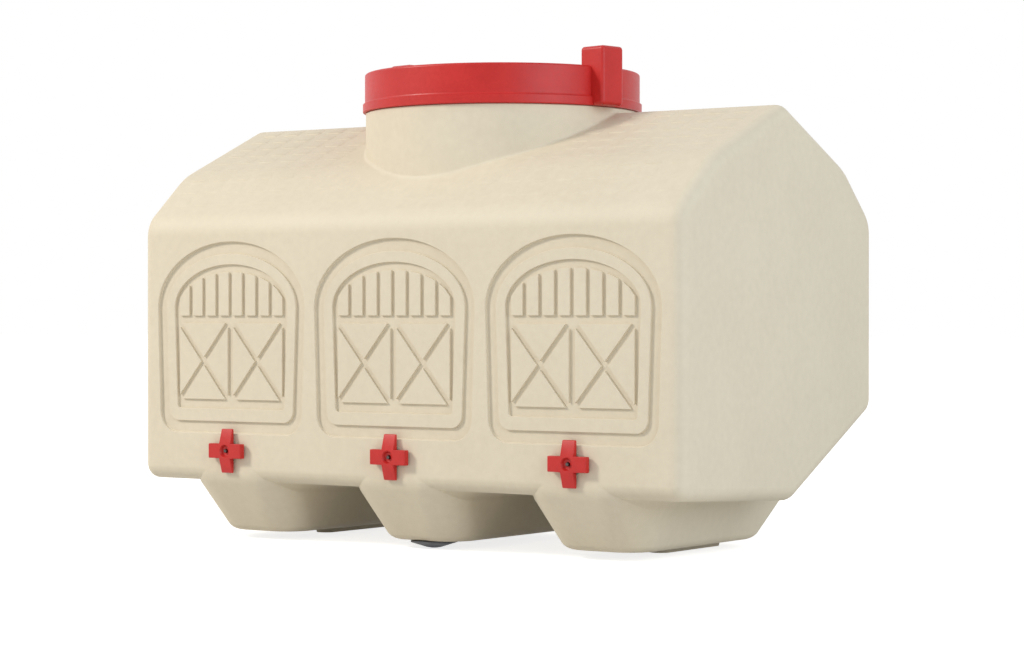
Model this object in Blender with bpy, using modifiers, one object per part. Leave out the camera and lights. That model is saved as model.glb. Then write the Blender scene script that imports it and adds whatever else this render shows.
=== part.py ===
# Barn-shaped poultry waterer: a moulded water tank on three lobes, a screw lid on a wide neck,
# three drinkers on the front wall and a drain bung under the middle lobe.
# Metres, +Z up. X runs along the ridge, -Y is the front with the drinkers.
# The origin lies on the floor, under the middle of the whole waterer.

import math

import bmesh
import bpy
from mathutils import Matrix, Vector

mm = 0.001

# Tank, outside
tank_width = 577.85 * mm
tank_depth = 317.5 * mm
overall_height = 412.75 * mm
underside_z = 46.5 * mm
chamfer_top_z = 132.0 * mm
lid_above_ridge = 41.25 * mm
roof_height = 71.5 * mm
end_draft = 3.85 * mm
tank_wall = 5.0 * mm
base_edge_radius = 18.0 * mm
rear_edge_radius = 15.0 * mm
eave_radius = 40.0 * mm
ridge_radius = 16.0 * mm
end_edge_radius = 14.0 * mm

# Lobes under the tank, one below each drinker
station_pitch = 181.0 * mm
lobe_bottom_z = 7.2 * mm
lobe_shoulder_z = 62.0 * mm
lobe_top_z = 130.0 * mm
lobe_half_width_bottom = 50.0 * mm
lobe_half_width_top = 55.0 * mm
lobe_front_slant = 26.3 * mm
lobe_front_setback = 1.5 * mm
lobe_front_top_setback = 8.5 * mm
lobe_rear_top_setback = 18.75 * mm
lobe_rear_slant = 72.0 * mm
lobe_corner_radius_bottom = 46.0 * mm
lobe_corner_radius_top = 40.0 * mm
lobe_edge_radius = 6.0 * mm

# Moulded foot pads under the outer lobes
pad_half_width = 12.0 * mm
pad_front_setback = 108.75 * mm
pad_rear_setback = 96.75 * mm
pad_corner_radius = 9.0 * mm
pad_taper = 1.5 * mm

# Filler neck, sized from the lid that closes it
neck_inset = 1.0 * mm
thread_room = 3.8 * mm
neck_wall = 4.6 * mm
neck_root_depth = 61.5 * mm

# Three-start thread between spout and lid
thread_starts = 3
thread_lead = 24.0 * mm
thread_land = 3.4 * mm
thread_crest = 2.0 * mm
thread_sink = 1.2 * mm
spout_thread_height = 2.9 * mm
lid_thread_height = 2.8 * mm
spout_thread_rise = 16.0 * mm
spout_thread_sweep = 105.0
lid_thread_lag = 30.0
lid_thread_sweep = 60.0
thread_offset = 2.8 * mm
thread_step = 7.5

# Screw lid
lid_height = 35.1 * mm
lid_top_wall = 4.0 * mm
lid_skirt_wall = 2.6 * mm
lid_radius = 120.8 * mm
lid_bead_reach = 1.6 * mm
lid_bead_height = 7.0 * mm
lid_edge_radius = 2.5 * mm
lug_angle = -10.0
lug_thickness = 26.0 * mm
lug_inset = 12.8 * mm
lug_overhang = 14.2 * mm
lug_rise = 17.6 * mm
lug_edge_radius = 2.2 * mm
vent_radius = 2.0 * mm
vent_offset = 60.0 * mm
gasket_thickness = 2.5 * mm
gasket_width = 7.9 * mm
gasket_side_clearance = 0.8 * mm

# Barn doors in relief on the front wall
door_recess = 2.3 * mm
door_bottom_z = 94.0 * mm
door_spring_drop = 96.0 * mm
door_taper = 3.5 * mm
door_half_width = 85.0 * mm
door_rise = 58.0 * mm
door_corner_radius = 19.0 * mm
frame_outer_half_width = 75.0 * mm
frame_outer_rise = 47.5 * mm
frame_bottom_z = 104.3 * mm
frame_corner_radius = 11.0 * mm
frame_inner_half_width = 65.4 * mm
frame_inner_rise = 38.0 * mm
frame_inner_bottom_z = 115.5 * mm
frame_relief = 2.0 * mm
frame_inner_corner_radius = 3.0 * mm
plank_count = 8
plank_pitch = 15.4 * mm
plank_gap = 4.0 * mm
plank_bottom_drop = 7.2 * mm
plank_arch_margin = 6.6 * mm
brace_half_width = 28.2 * mm
brace_centre_x = 31.2 * mm
brace_bottom_z = 123.6 * mm
brace_top_gap = 6.4 * mm
brace_groove = 4.6 * mm
pad_relief = 1.7 * mm
relief_sink = 1.2 * mm

# Drinkers
drinker_z = 80.0 * mm
cross_width = 37.0 * mm
cross_height = 38.6 * mm
cross_arm = 12.8 * mm
cross_thickness = 5.3 * mm
cross_edge_radius = 0.9 * mm
cross_cup_radius = 5.0 * mm
cross_cup_floor_radius = 3.6 * mm
cross_cup_depth = 3.0 * mm
stem_radius = 7.2 * mm
stem_length = 16.5 * mm
valve_chamber_radius = 5.2 * mm
valve_chamber_depth = 13.2 * mm
washer_radius = 10.5 * mm
washer_thickness = 1.4 * mm
nut_thickness = 6.0 * mm
nut_across_flats = 22.0 * mm
pin_radius = 1.5 * mm
pin_bore_radius = 1.9 * mm
pin_setback = 0.8 * mm
pin_head_radius = 4.2 * mm
pin_head_thickness = 1.6 * mm
pin_tip_chamfer = 0.4 * mm
pin_tail = 2.6 * mm
seal_thickness = 1.2 * mm
cap_thickness = 2.0 * mm
cap_bore_radius = 1.8 * mm
spring_radius = 3.2 * mm
spring_wire_radius = 0.3 * mm
spring_turns = 4.0
spring_points_per_turn = 8

# Drain bung
bung_head_radius = 20.0 * mm
bung_tip_radius = 7.0 * mm
bung_floor_gap = 0.4 * mm
bung_stem_radius = 9.0 * mm
bung_stem_rise = 6.0 * mm
bung_groove = 0.5 * mm
bung_rib = 1.2 * mm
bung_rim = 1.6 * mm
bung_setback = 55.75 * mm
bung_x = 2.0 * mm

# Clearances
touch = 0.3 * mm
stem_clearance = 0.3 * mm
merge_distance = 0.00001

# Facets
round_steps = 48
small_round_steps = 20
drain_steps = 24
pin_steps = 12
arc_steps = 5
lobe_corner_steps = 6
arch_steps = 18

# Sizes that follow from the ones above
half_width = tank_width / 2
half_depth = tank_depth / 2
front_y = -half_depth
ridge_z = overall_height - lid_above_ridge
eave_corner_z = ridge_z - roof_height
neck_root_z = ridge_z - neck_root_depth
door_spring_z = eave_corner_z - door_spring_drop
plank_bottom_z = door_spring_z - plank_bottom_drop
brace_top_z = plank_bottom_z - brace_top_gap
lobe_rear_top_y = half_depth - lobe_rear_top_setback
pad_front_y = front_y + pad_front_setback
pad_rear_y = half_depth - pad_rear_setback
bung_y = front_y + bung_setback
lug_inner_radius = lid_radius - lug_inset
lug_outer_radius = lid_radius + lug_overhang
lid_bottom_z = overall_height - lid_height
lid_ceiling_z = overall_height - lid_top_wall
lid_bore_radius = lid_radius - lid_skirt_wall
lid_bead_radius = lid_radius + lid_bead_reach
gasket_radius = lid_bore_radius - gasket_side_clearance
gasket_inner_radius = gasket_radius - gasket_width
neck_radius = lid_radius - neck_inset
spout_radius = lid_bore_radius - thread_room
lug_top_z = overall_height + lug_rise
shoulder_z = lid_bottom_z - touch
spout_top_z = lid_ceiling_z - gasket_thickness - 2 * touch
spout_thread_z = shoulder_z + spout_thread_rise
facet_angle = 360 / round_steps
spout_thread_start = facet_angle * 3 / 4
cross_back = washer_thickness + 2 * touch
front_reach = cross_back + cross_thickness
stations = {"left": -station_pitch, "centre": 0.0, "right": station_pitch}


def clear_scene():
    for item in list(bpy.data.objects):
        bpy.data.objects.remove(item, do_unlink=True)


def new_collection(name):
    collection = bpy.data.collections.new(name)
    bpy.context.scene.collection.children.link(collection)
    return collection


def new_material(name, colour, roughness, metallic=0.0):
    material = bpy.data.materials.new(name)
    material.use_nodes = True
    shader = material.node_tree.nodes["Principled BSDF"]
    shader.inputs["Base Color"].default_value = (*colour, 1.0)
    shader.inputs["Roughness"].default_value = roughness
    shader.inputs["Metallic"].default_value = metallic
    return material


clear_scene()
parts = new_collection("chicken_waterer")
cutters = new_collection("cutters")

tank_plastic = new_material("tank_plastic", (0.70, 0.62, 0.49), 0.55)
lid_plastic = new_material("lid_plastic", (0.50, 0.03, 0.03), 0.38)
drinker_plastic = new_material("drinker_plastic", (0.48, 0.02, 0.02), 0.42)
nut_plastic = new_material("nut_plastic", (0.55, 0.53, 0.48), 0.5)
seal_rubber = new_material("seal_rubber", (0.04, 0.04, 0.04), 0.8)
bung_rubber = new_material("bung_rubber", (0.07, 0.075, 0.08), 0.7)
stainless = new_material("stainless", (0.62, 0.62, 0.61), 0.25, 1.0)


def add_object(name, mesh, material=None):
    # A piece with a material belongs to the waterer; one without is a cutter.
    body = bpy.data.objects.new(name, mesh)
    if material is None:
        cutters.objects.link(body)
        body.hide_render = True
        body.display_type = "WIRE"
    else:
        parts.objects.link(body)
        mesh.materials.append(material)
    return body


def finish_mesh(name, shape):
    bmesh.ops.recalc_face_normals(shape, faces=shape.faces[:])
    mesh = bpy.data.meshes.new(name)
    shape.to_mesh(mesh)
    shape.free()
    mesh.shade_smooth()
    mesh.set_sharp_from_angle(angle=math.radians(35))
    return mesh


def combine(body, cutter, operation):
    step = body.modifiers.new(cutter.name, "BOOLEAN")
    step.operation = operation
    step.solver = "EXACT"
    step.object = cutter


def join(body, cutter):
    combine(body, cutter, "UNION")


def cut(body, cutter):
    combine(body, cutter, "DIFFERENCE")


def loft(shape, rings):
    # Walls between rings of equally many points, closed by a cap at each end.
    made = [[shape.verts.new(point) for point in ring] for ring in rings]
    for lower, upper in zip(made, made[1:]):
        for index in range(len(lower)):
            following = (index + 1) % len(lower)
            shape.faces.new((lower[index], lower[following], upper[following], upper[index]))
    shape.faces.new(made[0][::-1])
    shape.faces.new(made[-1])
    return made


def turned(name, profile, steps, material=None, closed=False):
    # A profile of (radius, z) points, down the outer side, swept round Z.
    mesh = bpy.data.meshes.new(name)
    edges = [(index, index + 1) for index in range(len(profile) - 1)]
    if closed:
        edges.append((len(profile) - 1, 0))
    mesh.from_pydata([(radius, 0.0, z) for radius, z in profile], edges, [])
    body = add_object(name, mesh, material)
    screw = body.modifiers.new("turn", "SCREW")
    screw.axis = "Z"
    screw.steps = steps
    screw.render_steps = steps
    screw.use_merge_vertices = True
    screw.merge_threshold = merge_distance
    screw.use_smooth_shade = False
    return body


def rounded_outline(corners, steps):
    # Corners are (u, v, radius), in order; each rounded corner becomes an arc.
    points = []
    count = len(corners)
    for index, (u, v, radius) in enumerate(corners):
        here = Vector((u, v))
        if radius <= 0:
            points.append(here)
            continue
        back = (Vector(corners[index - 1][:2]) - here).normalized()
        ahead = (Vector(corners[(index + 1) % count][:2]) - here).normalized()
        half_angle = back.angle(ahead) / 2
        centre = here + (back + ahead).normalized() * radius / math.sin(half_angle)
        first = here + back * radius / math.tan(half_angle) - centre
        last = here + ahead * radius / math.tan(half_angle) - centre
        turn = -first.angle_signed(last)
        for step in range(steps + 1):
            spoke = first.copy()
            spoke.rotate(Matrix.Rotation(turn * step / steps, 2))
            points.append(centre + spoke)
    return points


def inset_corners(corners, distance):
    # The same outline a wall's thickness further in; the corners run anticlockwise.
    count = len(corners)
    lines = []
    for index in range(count):
        start = Vector(corners[index][:2])
        along = (Vector(corners[(index + 1) % count][:2]) - start).normalized()
        inward = Vector((-along.y, along.x))
        lines.append((start + inward * distance, along))
    moved = []
    for index in range(count):
        point, along = lines[index - 1]
        other, other_along = lines[index]
        reach = (other - point).cross(other_along) / along.cross(other_along)
        meeting = point + along * reach
        radius = corners[index][2]
        moved.append((meeting.x, meeting.y, max(radius - distance, 0.0)))
    return moved


def barn_corners():
    # Side view of the tank, (y, z, radius), anticlockwise from the front of the underside.
    return [
        (-half_depth, underside_z, base_edge_radius),
        (0.0, underside_z, 0.0),
        (half_depth, chamfer_top_z, rear_edge_radius),
        (half_depth, eave_corner_z, eave_radius),
        (0.0, ridge_z, ridge_radius),
        (-half_depth, eave_corner_z, eave_radius),
    ]


def barn_block(name, inset, material=None):
    corners = barn_corners()
    if inset > 0:
        corners = inset_corners(corners, inset)
    outline = rounded_outline(corners, arc_steps + 1)
    shape = bmesh.new()
    ring = [shape.verts.new((-1.0, point.x, point.y)) for point in outline]
    face = shape.faces.new(ring)
    grown = bmesh.ops.extrude_face_region(shape, geom=[face])
    for item in grown["geom"]:
        if isinstance(item, bmesh.types.BMVert):
            item.co.x = 1.0
    # The mould's parting line runs down the middle of each end wall.
    bmesh.ops.bisect_plane(
        shape,
        geom=shape.verts[:] + shape.edges[:] + shape.faces[:],
        dist=merge_distance,
        plane_co=(0.0, 0.0, 0.0),
        plane_no=(0.0, 1.0, 0.0),
    )
    for vert in shape.verts:
        reach = half_width - end_draft * abs(vert.co.y) / half_depth - inset
        vert.co.x = math.copysign(reach, vert.co.x)
    rims = []
    for edge in shape.edges:
        start, end = edge.verts
        same_end = start.co.x * end.co.x > 0
        parting = abs(start.co.y) + abs(end.co.y) < merge_distance
        if same_end and not parting:
            rims.append(edge)
    bmesh.ops.bevel(
        shape,
        geom=rims,
        offset=end_edge_radius - inset,
        offset_type="OFFSET",
        segments=3,
        profile=0.5,
        affect="EDGES",
        clamp_overlap=True,
        material=-1,
    )
    return add_object(name, finish_mesh(name, shape), material)


def rounded_plan(half_x, low_y, high_y, radius, steps):
    corners = [
        (-half_x, low_y, radius),
        (half_x, low_y, radius),
        (half_x, high_y, radius),
        (-half_x, high_y, radius),
    ]
    return rounded_outline(corners, steps)


def lobe_rings(centre_x, inset):
    # Bottom, shoulder and hidden top of one lobe, or of the space inside it.
    drop = lobe_shoulder_z - lobe_bottom_z
    front_shift = math.hypot(1.0, lobe_front_slant / drop) * inset
    rear_shift = math.hypot(1.0, lobe_rear_slant / drop) * inset
    floor_share = (drop - inset) / drop
    shoulder_y = front_y + lobe_front_setback
    top_y = front_y + lobe_front_top_setback
    levels = [
        (
            lobe_bottom_z + inset,
            lobe_half_width_bottom,
            shoulder_y + lobe_front_slant * floor_share + front_shift,
            lobe_rear_top_y - lobe_rear_slant * floor_share - rear_shift,
            lobe_corner_radius_bottom,
        ),
        (
            lobe_shoulder_z,
            lobe_half_width_top,
            shoulder_y + front_shift,
            lobe_rear_top_y - rear_shift,
            lobe_corner_radius_top,
        ),
        (lobe_top_z, lobe_half_width_top, top_y + inset, lobe_rear_top_y - inset, lobe_corner_radius_top),
    ]
    rings = []
    for z, half_x, low_y, high_y, radius in levels:
        plan = rounded_plan(half_x - inset, low_y, high_y, radius - inset, lobe_corner_steps)
        rings.append([(centre_x + point.x, point.y, z) for point in plan])
    return rings


def lobes(name, inset):
    shape = bmesh.new()
    for centre_x in stations.values():
        made = loft(shape, lobe_rings(centre_x, inset))
        floor_ring = set(made[0])
        rim = [edge for edge in shape.edges if edge.verts[0] in floor_ring and edge.verts[1] in floor_ring]
        bmesh.ops.bevel(
            shape,
            geom=rim,
            offset=lobe_edge_radius,
            offset_type="OFFSET",
            segments=2,
            profile=0.5,
            affect="EDGES",
            clamp_overlap=True,
            material=-1,
        )
    return add_object(name, finish_mesh(name, shape))


def foot_pads():
    shape = bmesh.new()
    for side in (-1, 1):
        rings = []
        for z, grow in ((0.0, 0.0), (lobe_bottom_z + relief_sink, pad_taper)):
            plan = rounded_plan(
                pad_half_width + grow, pad_front_y - grow, pad_rear_y + grow, pad_corner_radius, arc_steps
            )
            rings.append([(side * station_pitch + point.x, point.y, z) for point in plan])
        loft(shape, rings)
    return add_object("foot_pads", finish_mesh("foot_pads", shape))


def arch_outline(half_x, bottom_z, rise, corner_radius):
    # An upright door outline: rounded bottom corners, tapered sides, an arch on top.
    lower_half = half_x - door_taper
    base = rounded_outline(
        [
            (-half_x, door_spring_z, 0.0),
            (-lower_half, bottom_z, corner_radius),
            (lower_half, bottom_z, corner_radius),
            (half_x, door_spring_z, 0.0),
        ],
        arc_steps - 1,
    )
    arch = []
    for step in range(1, arch_steps):
        angle = math.pi * step / arch_steps
        arch.append(Vector((half_x * math.cos(angle), door_spring_z + rise * math.sin(angle))))
    return base + arch


def arch_height(x, half_x, rise):
    return door_spring_z + rise * math.sqrt(max(1 - (x / half_x) ** 2, 0.0))


def upright_prism(shape, outline, centre_x, outer_y, inner_y):
    rings = []
    for y in (outer_y, inner_y):
        rings.append([(centre_x + point.x, y, point.y) for point in outline])
    loft(shape, rings)


def plank_outlines():
    outlines = []
    half_plank = (plank_pitch - plank_gap) / 2
    arch_half = frame_inner_half_width - plank_arch_margin / 2
    arch_rise = frame_inner_rise - plank_arch_margin
    for index in range(plank_count):
        centre = (index - (plank_count - 1) / 2) * plank_pitch
        left = centre - half_plank
        right = centre + half_plank
        top = [Vector((x, arch_height(x, arch_half, arch_rise))) for x in (right, centre, left)]
        outlines.append([Vector((left, plank_bottom_z)), Vector((right, plank_bottom_z))] + top)
    return outlines


def brace_outlines():
    # Two crossed panels; each is four triangles with a groove along both diagonals.
    outlines = []
    half_x = brace_half_width
    half_z = (brace_top_z - brace_bottom_z) / 2
    middle_z = (brace_top_z + brace_bottom_z) / 2
    diagonal = math.hypot(half_x, half_z)
    upright_gap = brace_groove / 2 * diagonal / half_x
    level_gap = brace_groove / 2 * diagonal / half_z
    reach_x = half_x * (half_z - upright_gap) / half_z
    reach_z = half_z * (half_x - level_gap) / half_x
    for centre in (-brace_centre_x, brace_centre_x):
        for way in (-1, 1):
            end_z = middle_z + way * half_z
            end_x = centre + way * half_x
            outlines.append([
                Vector((centre, middle_z + way * upright_gap)),
                Vector((centre + reach_x, end_z)),
                Vector((centre - reach_x, end_z)),
            ])
            outlines.append([
                Vector((centre + way * level_gap, middle_z)),
                Vector((end_x, middle_z + reach_z)),
                Vector((end_x, middle_z - reach_z)),
            ])
    return outlines


def door_recesses():
    shape = bmesh.new()
    outline = arch_outline(door_half_width, door_bottom_z, door_rise, door_corner_radius)
    for centre_x in stations.values():
        upright_prism(shape, outline, centre_x, front_y - relief_sink, front_y + door_recess)
    return add_object("door_recesses", finish_mesh("door_recesses", shape))


def frame_ring(shape, centre_x, outer_y, inner_y):
    outer = arch_outline(frame_outer_half_width, frame_bottom_z, frame_outer_rise, frame_corner_radius)
    inner = arch_outline(
        frame_inner_half_width, frame_inner_bottom_z, frame_inner_rise, frame_inner_corner_radius
    )
    loops = []
    for outline, y in ((outer, outer_y), (outer, inner_y), (inner, inner_y), (inner, outer_y)):
        loops.append([shape.verts.new((centre_x + point.x, y, point.y)) for point in outline])
    count = len(outer)
    for first, second in zip(loops, loops[1:] + loops[:1]):
        for index in range(count):
            following = (index + 1) % count
            shape.faces.new((first[index], first[following], second[following], second[index]))


def door_reliefs():
    shape = bmesh.new()
    floor_y = front_y + door_recess
    for centre_x in stations.values():
        frame_ring(shape, centre_x, floor_y - frame_relief, floor_y + relief_sink)
        for outline in plank_outlines() + brace_outlines():
            upright_prism(shape, outline, centre_x, floor_y - pad_relief, floor_y + relief_sink)
    return add_object("door_reliefs", finish_mesh("door_reliefs", shape))


def thread_ribs(name, base_radius, height, middle_z, sweep, start_angle, material=None):
    # Raised helical ribs; a negative height makes them point inwards.
    shape = bmesh.new()
    steps = round(sweep / thread_step)
    climb = thread_lead * thread_step / 360
    sunk_radius = base_radius - math.copysign(thread_sink, height)
    for start in range(thread_starts):
        section = [
            (sunk_radius, -thread_land / 2),
            (base_radius + height, -thread_crest / 2),
            (base_radius + height, thread_crest / 2),
            (sunk_radius, thread_land / 2),
        ]
        turn = Matrix.Rotation(math.radians(start_angle + 360 / thread_starts * start), 4, "Z")
        corners = [shape.verts.new(turn @ Vector((r, 0.0, middle_z + z))) for r, z in section]
        face = shape.faces.new(corners)
        bmesh.ops.spin(
            shape,
            geom=[face] + list(face.edges) + corners,
            cent=(0.0, 0.0, 0.0),
            axis=(0.0, 0.0, 1.0),
            dvec=(0.0, 0.0, climb),
            angle=math.radians(steps * thread_step),
            steps=steps,
            use_merge=False,
            use_duplicate=False,
        )
    return add_object(name, finish_mesh(name, shape), material)


def rod(name, radius, low_z, high_z, steps):
    profile = [(0.0, high_z), (radius, high_z), (radius, low_z), (0.0, low_z)]
    return turned(name, profile, steps)


def ring_profile(outer_radius, inner_radius, low_z, high_z):
    return [(outer_radius, high_z), (outer_radius, low_z), (inner_radius, low_z), (inner_radius, high_z)]


def face_forward(body, centre_x):
    # Drinker pieces are drawn with Z pointing out of the front wall, from its outer face.
    body.rotation_euler = (math.pi / 2, 0.0, 0.0)
    body.location = (centre_x, front_y, drinker_z)


def build_tank():
    tank = barn_block("tank_body", 0.0, tank_plastic)
    join(tank, lobes("lobes_outside", 0.0))
    neck = [
        (0.0, spout_top_z),
        (spout_radius, spout_top_z),
        (spout_radius, shoulder_z),
        (neck_radius, shoulder_z),
        (neck_radius, neck_root_z),
        (0.0, neck_root_z),
    ]
    neck_outside = turned("neck_outside", neck, round_steps)
    neck_outside.rotation_euler.z = math.radians(facet_angle / 4)
    join(tank, neck_outside)
    join(tank, thread_ribs("spout_thread", spout_radius, spout_thread_height, spout_thread_z,
                           spout_thread_sweep, spout_thread_start))
    cut(tank, door_recesses())
    join(tank, door_reliefs())
    cut(tank, barn_block("cavity", tank_wall))
    cut(tank, lobes("lobes_inside", tank_wall))
    join(tank, foot_pads())
    mouth_radius = spout_radius - neck_wall
    throat_radius = neck_radius - tank_wall
    throat_top_z = shoulder_z - tank_wall
    bore = [
        (0.0, overall_height),
        (mouth_radius, overall_height),
        (mouth_radius, throat_top_z),
        (throat_radius, throat_top_z),
        (throat_radius, neck_root_z),
        (0.0, neck_root_z),
    ]
    neck_bore = turned("neck_bore", bore, round_steps)
    neck_bore.rotation_euler.z = math.radians(facet_angle * 3 / 4)
    cut(tank, neck_bore)
    for place, centre_x in stations.items():
        hole_radius = stem_radius + stem_clearance
        hole = rod("stem_hole_" + place, hole_radius, -2 * tank_wall, tank_wall, small_round_steps)
        face_forward(hole, centre_x)
        cut(tank, hole)
    drain_radius = bung_stem_radius + stem_clearance
    drain = rod("drain_hole", drain_radius, 0.0, lobe_bottom_z + 2 * tank_wall, small_round_steps)
    drain.location = (bung_x, bung_y, 0.0)
    cut(tank, drain)


def lug(shape, angle):
    # A grip block that hugs the skirt and hooks over the rim of the lid.
    inside_r = lid_radius - lid_skirt_wall / 2
    inside_z = overall_height - lid_top_wall / 2
    outline = [
        (lug_outer_radius, lid_bottom_z),
        (lug_outer_radius, lug_top_z),
        (lug_inner_radius, lug_top_z),
        (lug_inner_radius, inside_z),
        (inside_r, inside_z),
        (inside_r, lid_bottom_z),
    ]
    before = set(shape.verts)
    rings = []
    for y in (-lug_thickness / 2, lug_thickness / 2):
        rings.append([(r, y, z) for r, z in outline])
    made = loft(shape, rings)
    rounded = []
    for loop in made:
        corners = [loop[0], loop[1], loop[2], loop[3]]
        for first, second in zip(corners, corners[1:]):
            rounded.append(shape.edges.get((first, second)))
    rounded.append(shape.edges.get((made[0][1], made[1][1])))
    rounded.append(shape.edges.get((made[0][2], made[1][2])))
    bmesh.ops.bevel(
        shape,
        geom=rounded,
        offset=lug_edge_radius,
        offset_type="OFFSET",
        segments=2,
        profile=0.5,
        affect="EDGES",
        clamp_overlap=True,
        material=-1,
    )
    added = [vert for vert in shape.verts if vert not in before]
    turn = Matrix.Rotation(math.radians(angle), 3, "Z")
    bmesh.ops.rotate(shape, cent=(0.0, 0.0, 0.0), matrix=turn, verts=added)


def build_lid():
    bead_top_z = lid_bottom_z + lid_bead_height
    bead_step = lid_bead_radius - lid_radius
    outside = [(0.0, overall_height)]
    for step in range(arc_steps):
        angle = math.pi / 2 * step / (arc_steps - 1)
        outside.append((
            lid_radius - lid_edge_radius * (1 - math.sin(angle)),
            overall_height - lid_edge_radius * (1 - math.cos(angle)),
        ))
    profile = outside + [
        (lid_radius, bead_top_z),
        (lid_bead_radius, bead_top_z - bead_step),
        (lid_bead_radius, lid_bottom_z + bead_step),
        (lid_bead_radius - bead_step, lid_bottom_z),
        (lid_bore_radius, lid_bottom_z),
        (lid_bore_radius, lid_ceiling_z),
        (0.0, lid_ceiling_z),
    ]
    lid = turned("screw_lid", profile, round_steps, lid_plastic)
    lugs = bmesh.new()
    lug(lugs, lug_angle)
    lug(lugs, lug_angle + 180)
    join(lid, add_object("lugs", finish_mesh("lugs", lugs)))
    climb = thread_lead * lid_thread_lag / 360
    thread_z = spout_thread_z + climb - thread_offset
    join(lid, thread_ribs("lid_thread", lid_bore_radius, -lid_thread_height, thread_z,
                          lid_thread_sweep, spout_thread_start + lid_thread_lag))
    vent = rod("vent", vent_radius, lid_ceiling_z - touch, overall_height + touch, small_round_steps)
    vent.location = (vent_offset, 0.0, 0.0)
    cut(lid, vent)

    gasket_top_z = lid_ceiling_z - touch
    gasket = ring_profile(gasket_radius, gasket_inner_radius, gasket_top_z - gasket_thickness, gasket_top_z)
    turned("lid_gasket", gasket, round_steps, seal_rubber, closed=True)


def build_bung():
    head_top_z = lobe_bottom_z - touch
    stem_top_z = lobe_bottom_z + tank_wall + bung_stem_rise
    groove_radius = bung_stem_radius - bung_groove
    profile = [
        (0.0, stem_top_z),
        (groove_radius, stem_top_z),
        (bung_stem_radius, stem_top_z - bung_rib),
        (bung_stem_radius, stem_top_z - 2 * bung_rib),
        (groove_radius, stem_top_z - 3 * bung_rib),
        (groove_radius, head_top_z + 3 * bung_rib),
        (bung_stem_radius, head_top_z + 2 * bung_rib),
        (bung_stem_radius, head_top_z),
        (bung_head_radius, head_top_z),
        (bung_head_radius, head_top_z - bung_rim),
        (bung_tip_radius, bung_floor_gap),
        (0.0, bung_floor_gap),
    ]
    bung = turned("drain_bung", profile, drain_steps, bung_rubber)
    bung.location = (bung_x, bung_y, 0.0)


def cross_plate(name, material):
    half_arm = cross_arm / 2
    half_x = cross_width / 2
    half_z = cross_height / 2
    outline = [
        (half_arm, half_arm),
        (half_arm, half_z),
        (-half_arm, half_z),
        (-half_arm, half_arm),
        (-half_x, half_arm),
        (-half_x, -half_arm),
        (-half_arm, -half_arm),
        (-half_arm, -half_z),
        (half_arm, -half_z),
        (half_arm, -half_arm),
        (half_x, -half_arm),
        (half_x, half_arm),
    ]
    shape = bmesh.new()
    rings = []
    for z in (cross_back, cross_back + cross_thickness):
        rings.append([(x, y, z) for x, y in outline])
    front = loft(shape, rings)[1]
    rim = [shape.edges.get((front[index - 1], front[index])) for index in range(len(front))]
    bmesh.ops.bevel(
        shape,
        geom=rim,
        offset=cross_edge_radius,
        offset_type="OFFSET",
        segments=2,
        profile=0.5,
        affect="EDGES",
        clamp_overlap=True,
        material=-1,
    )
    return add_object(name, finish_mesh(name, shape), material)


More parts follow.
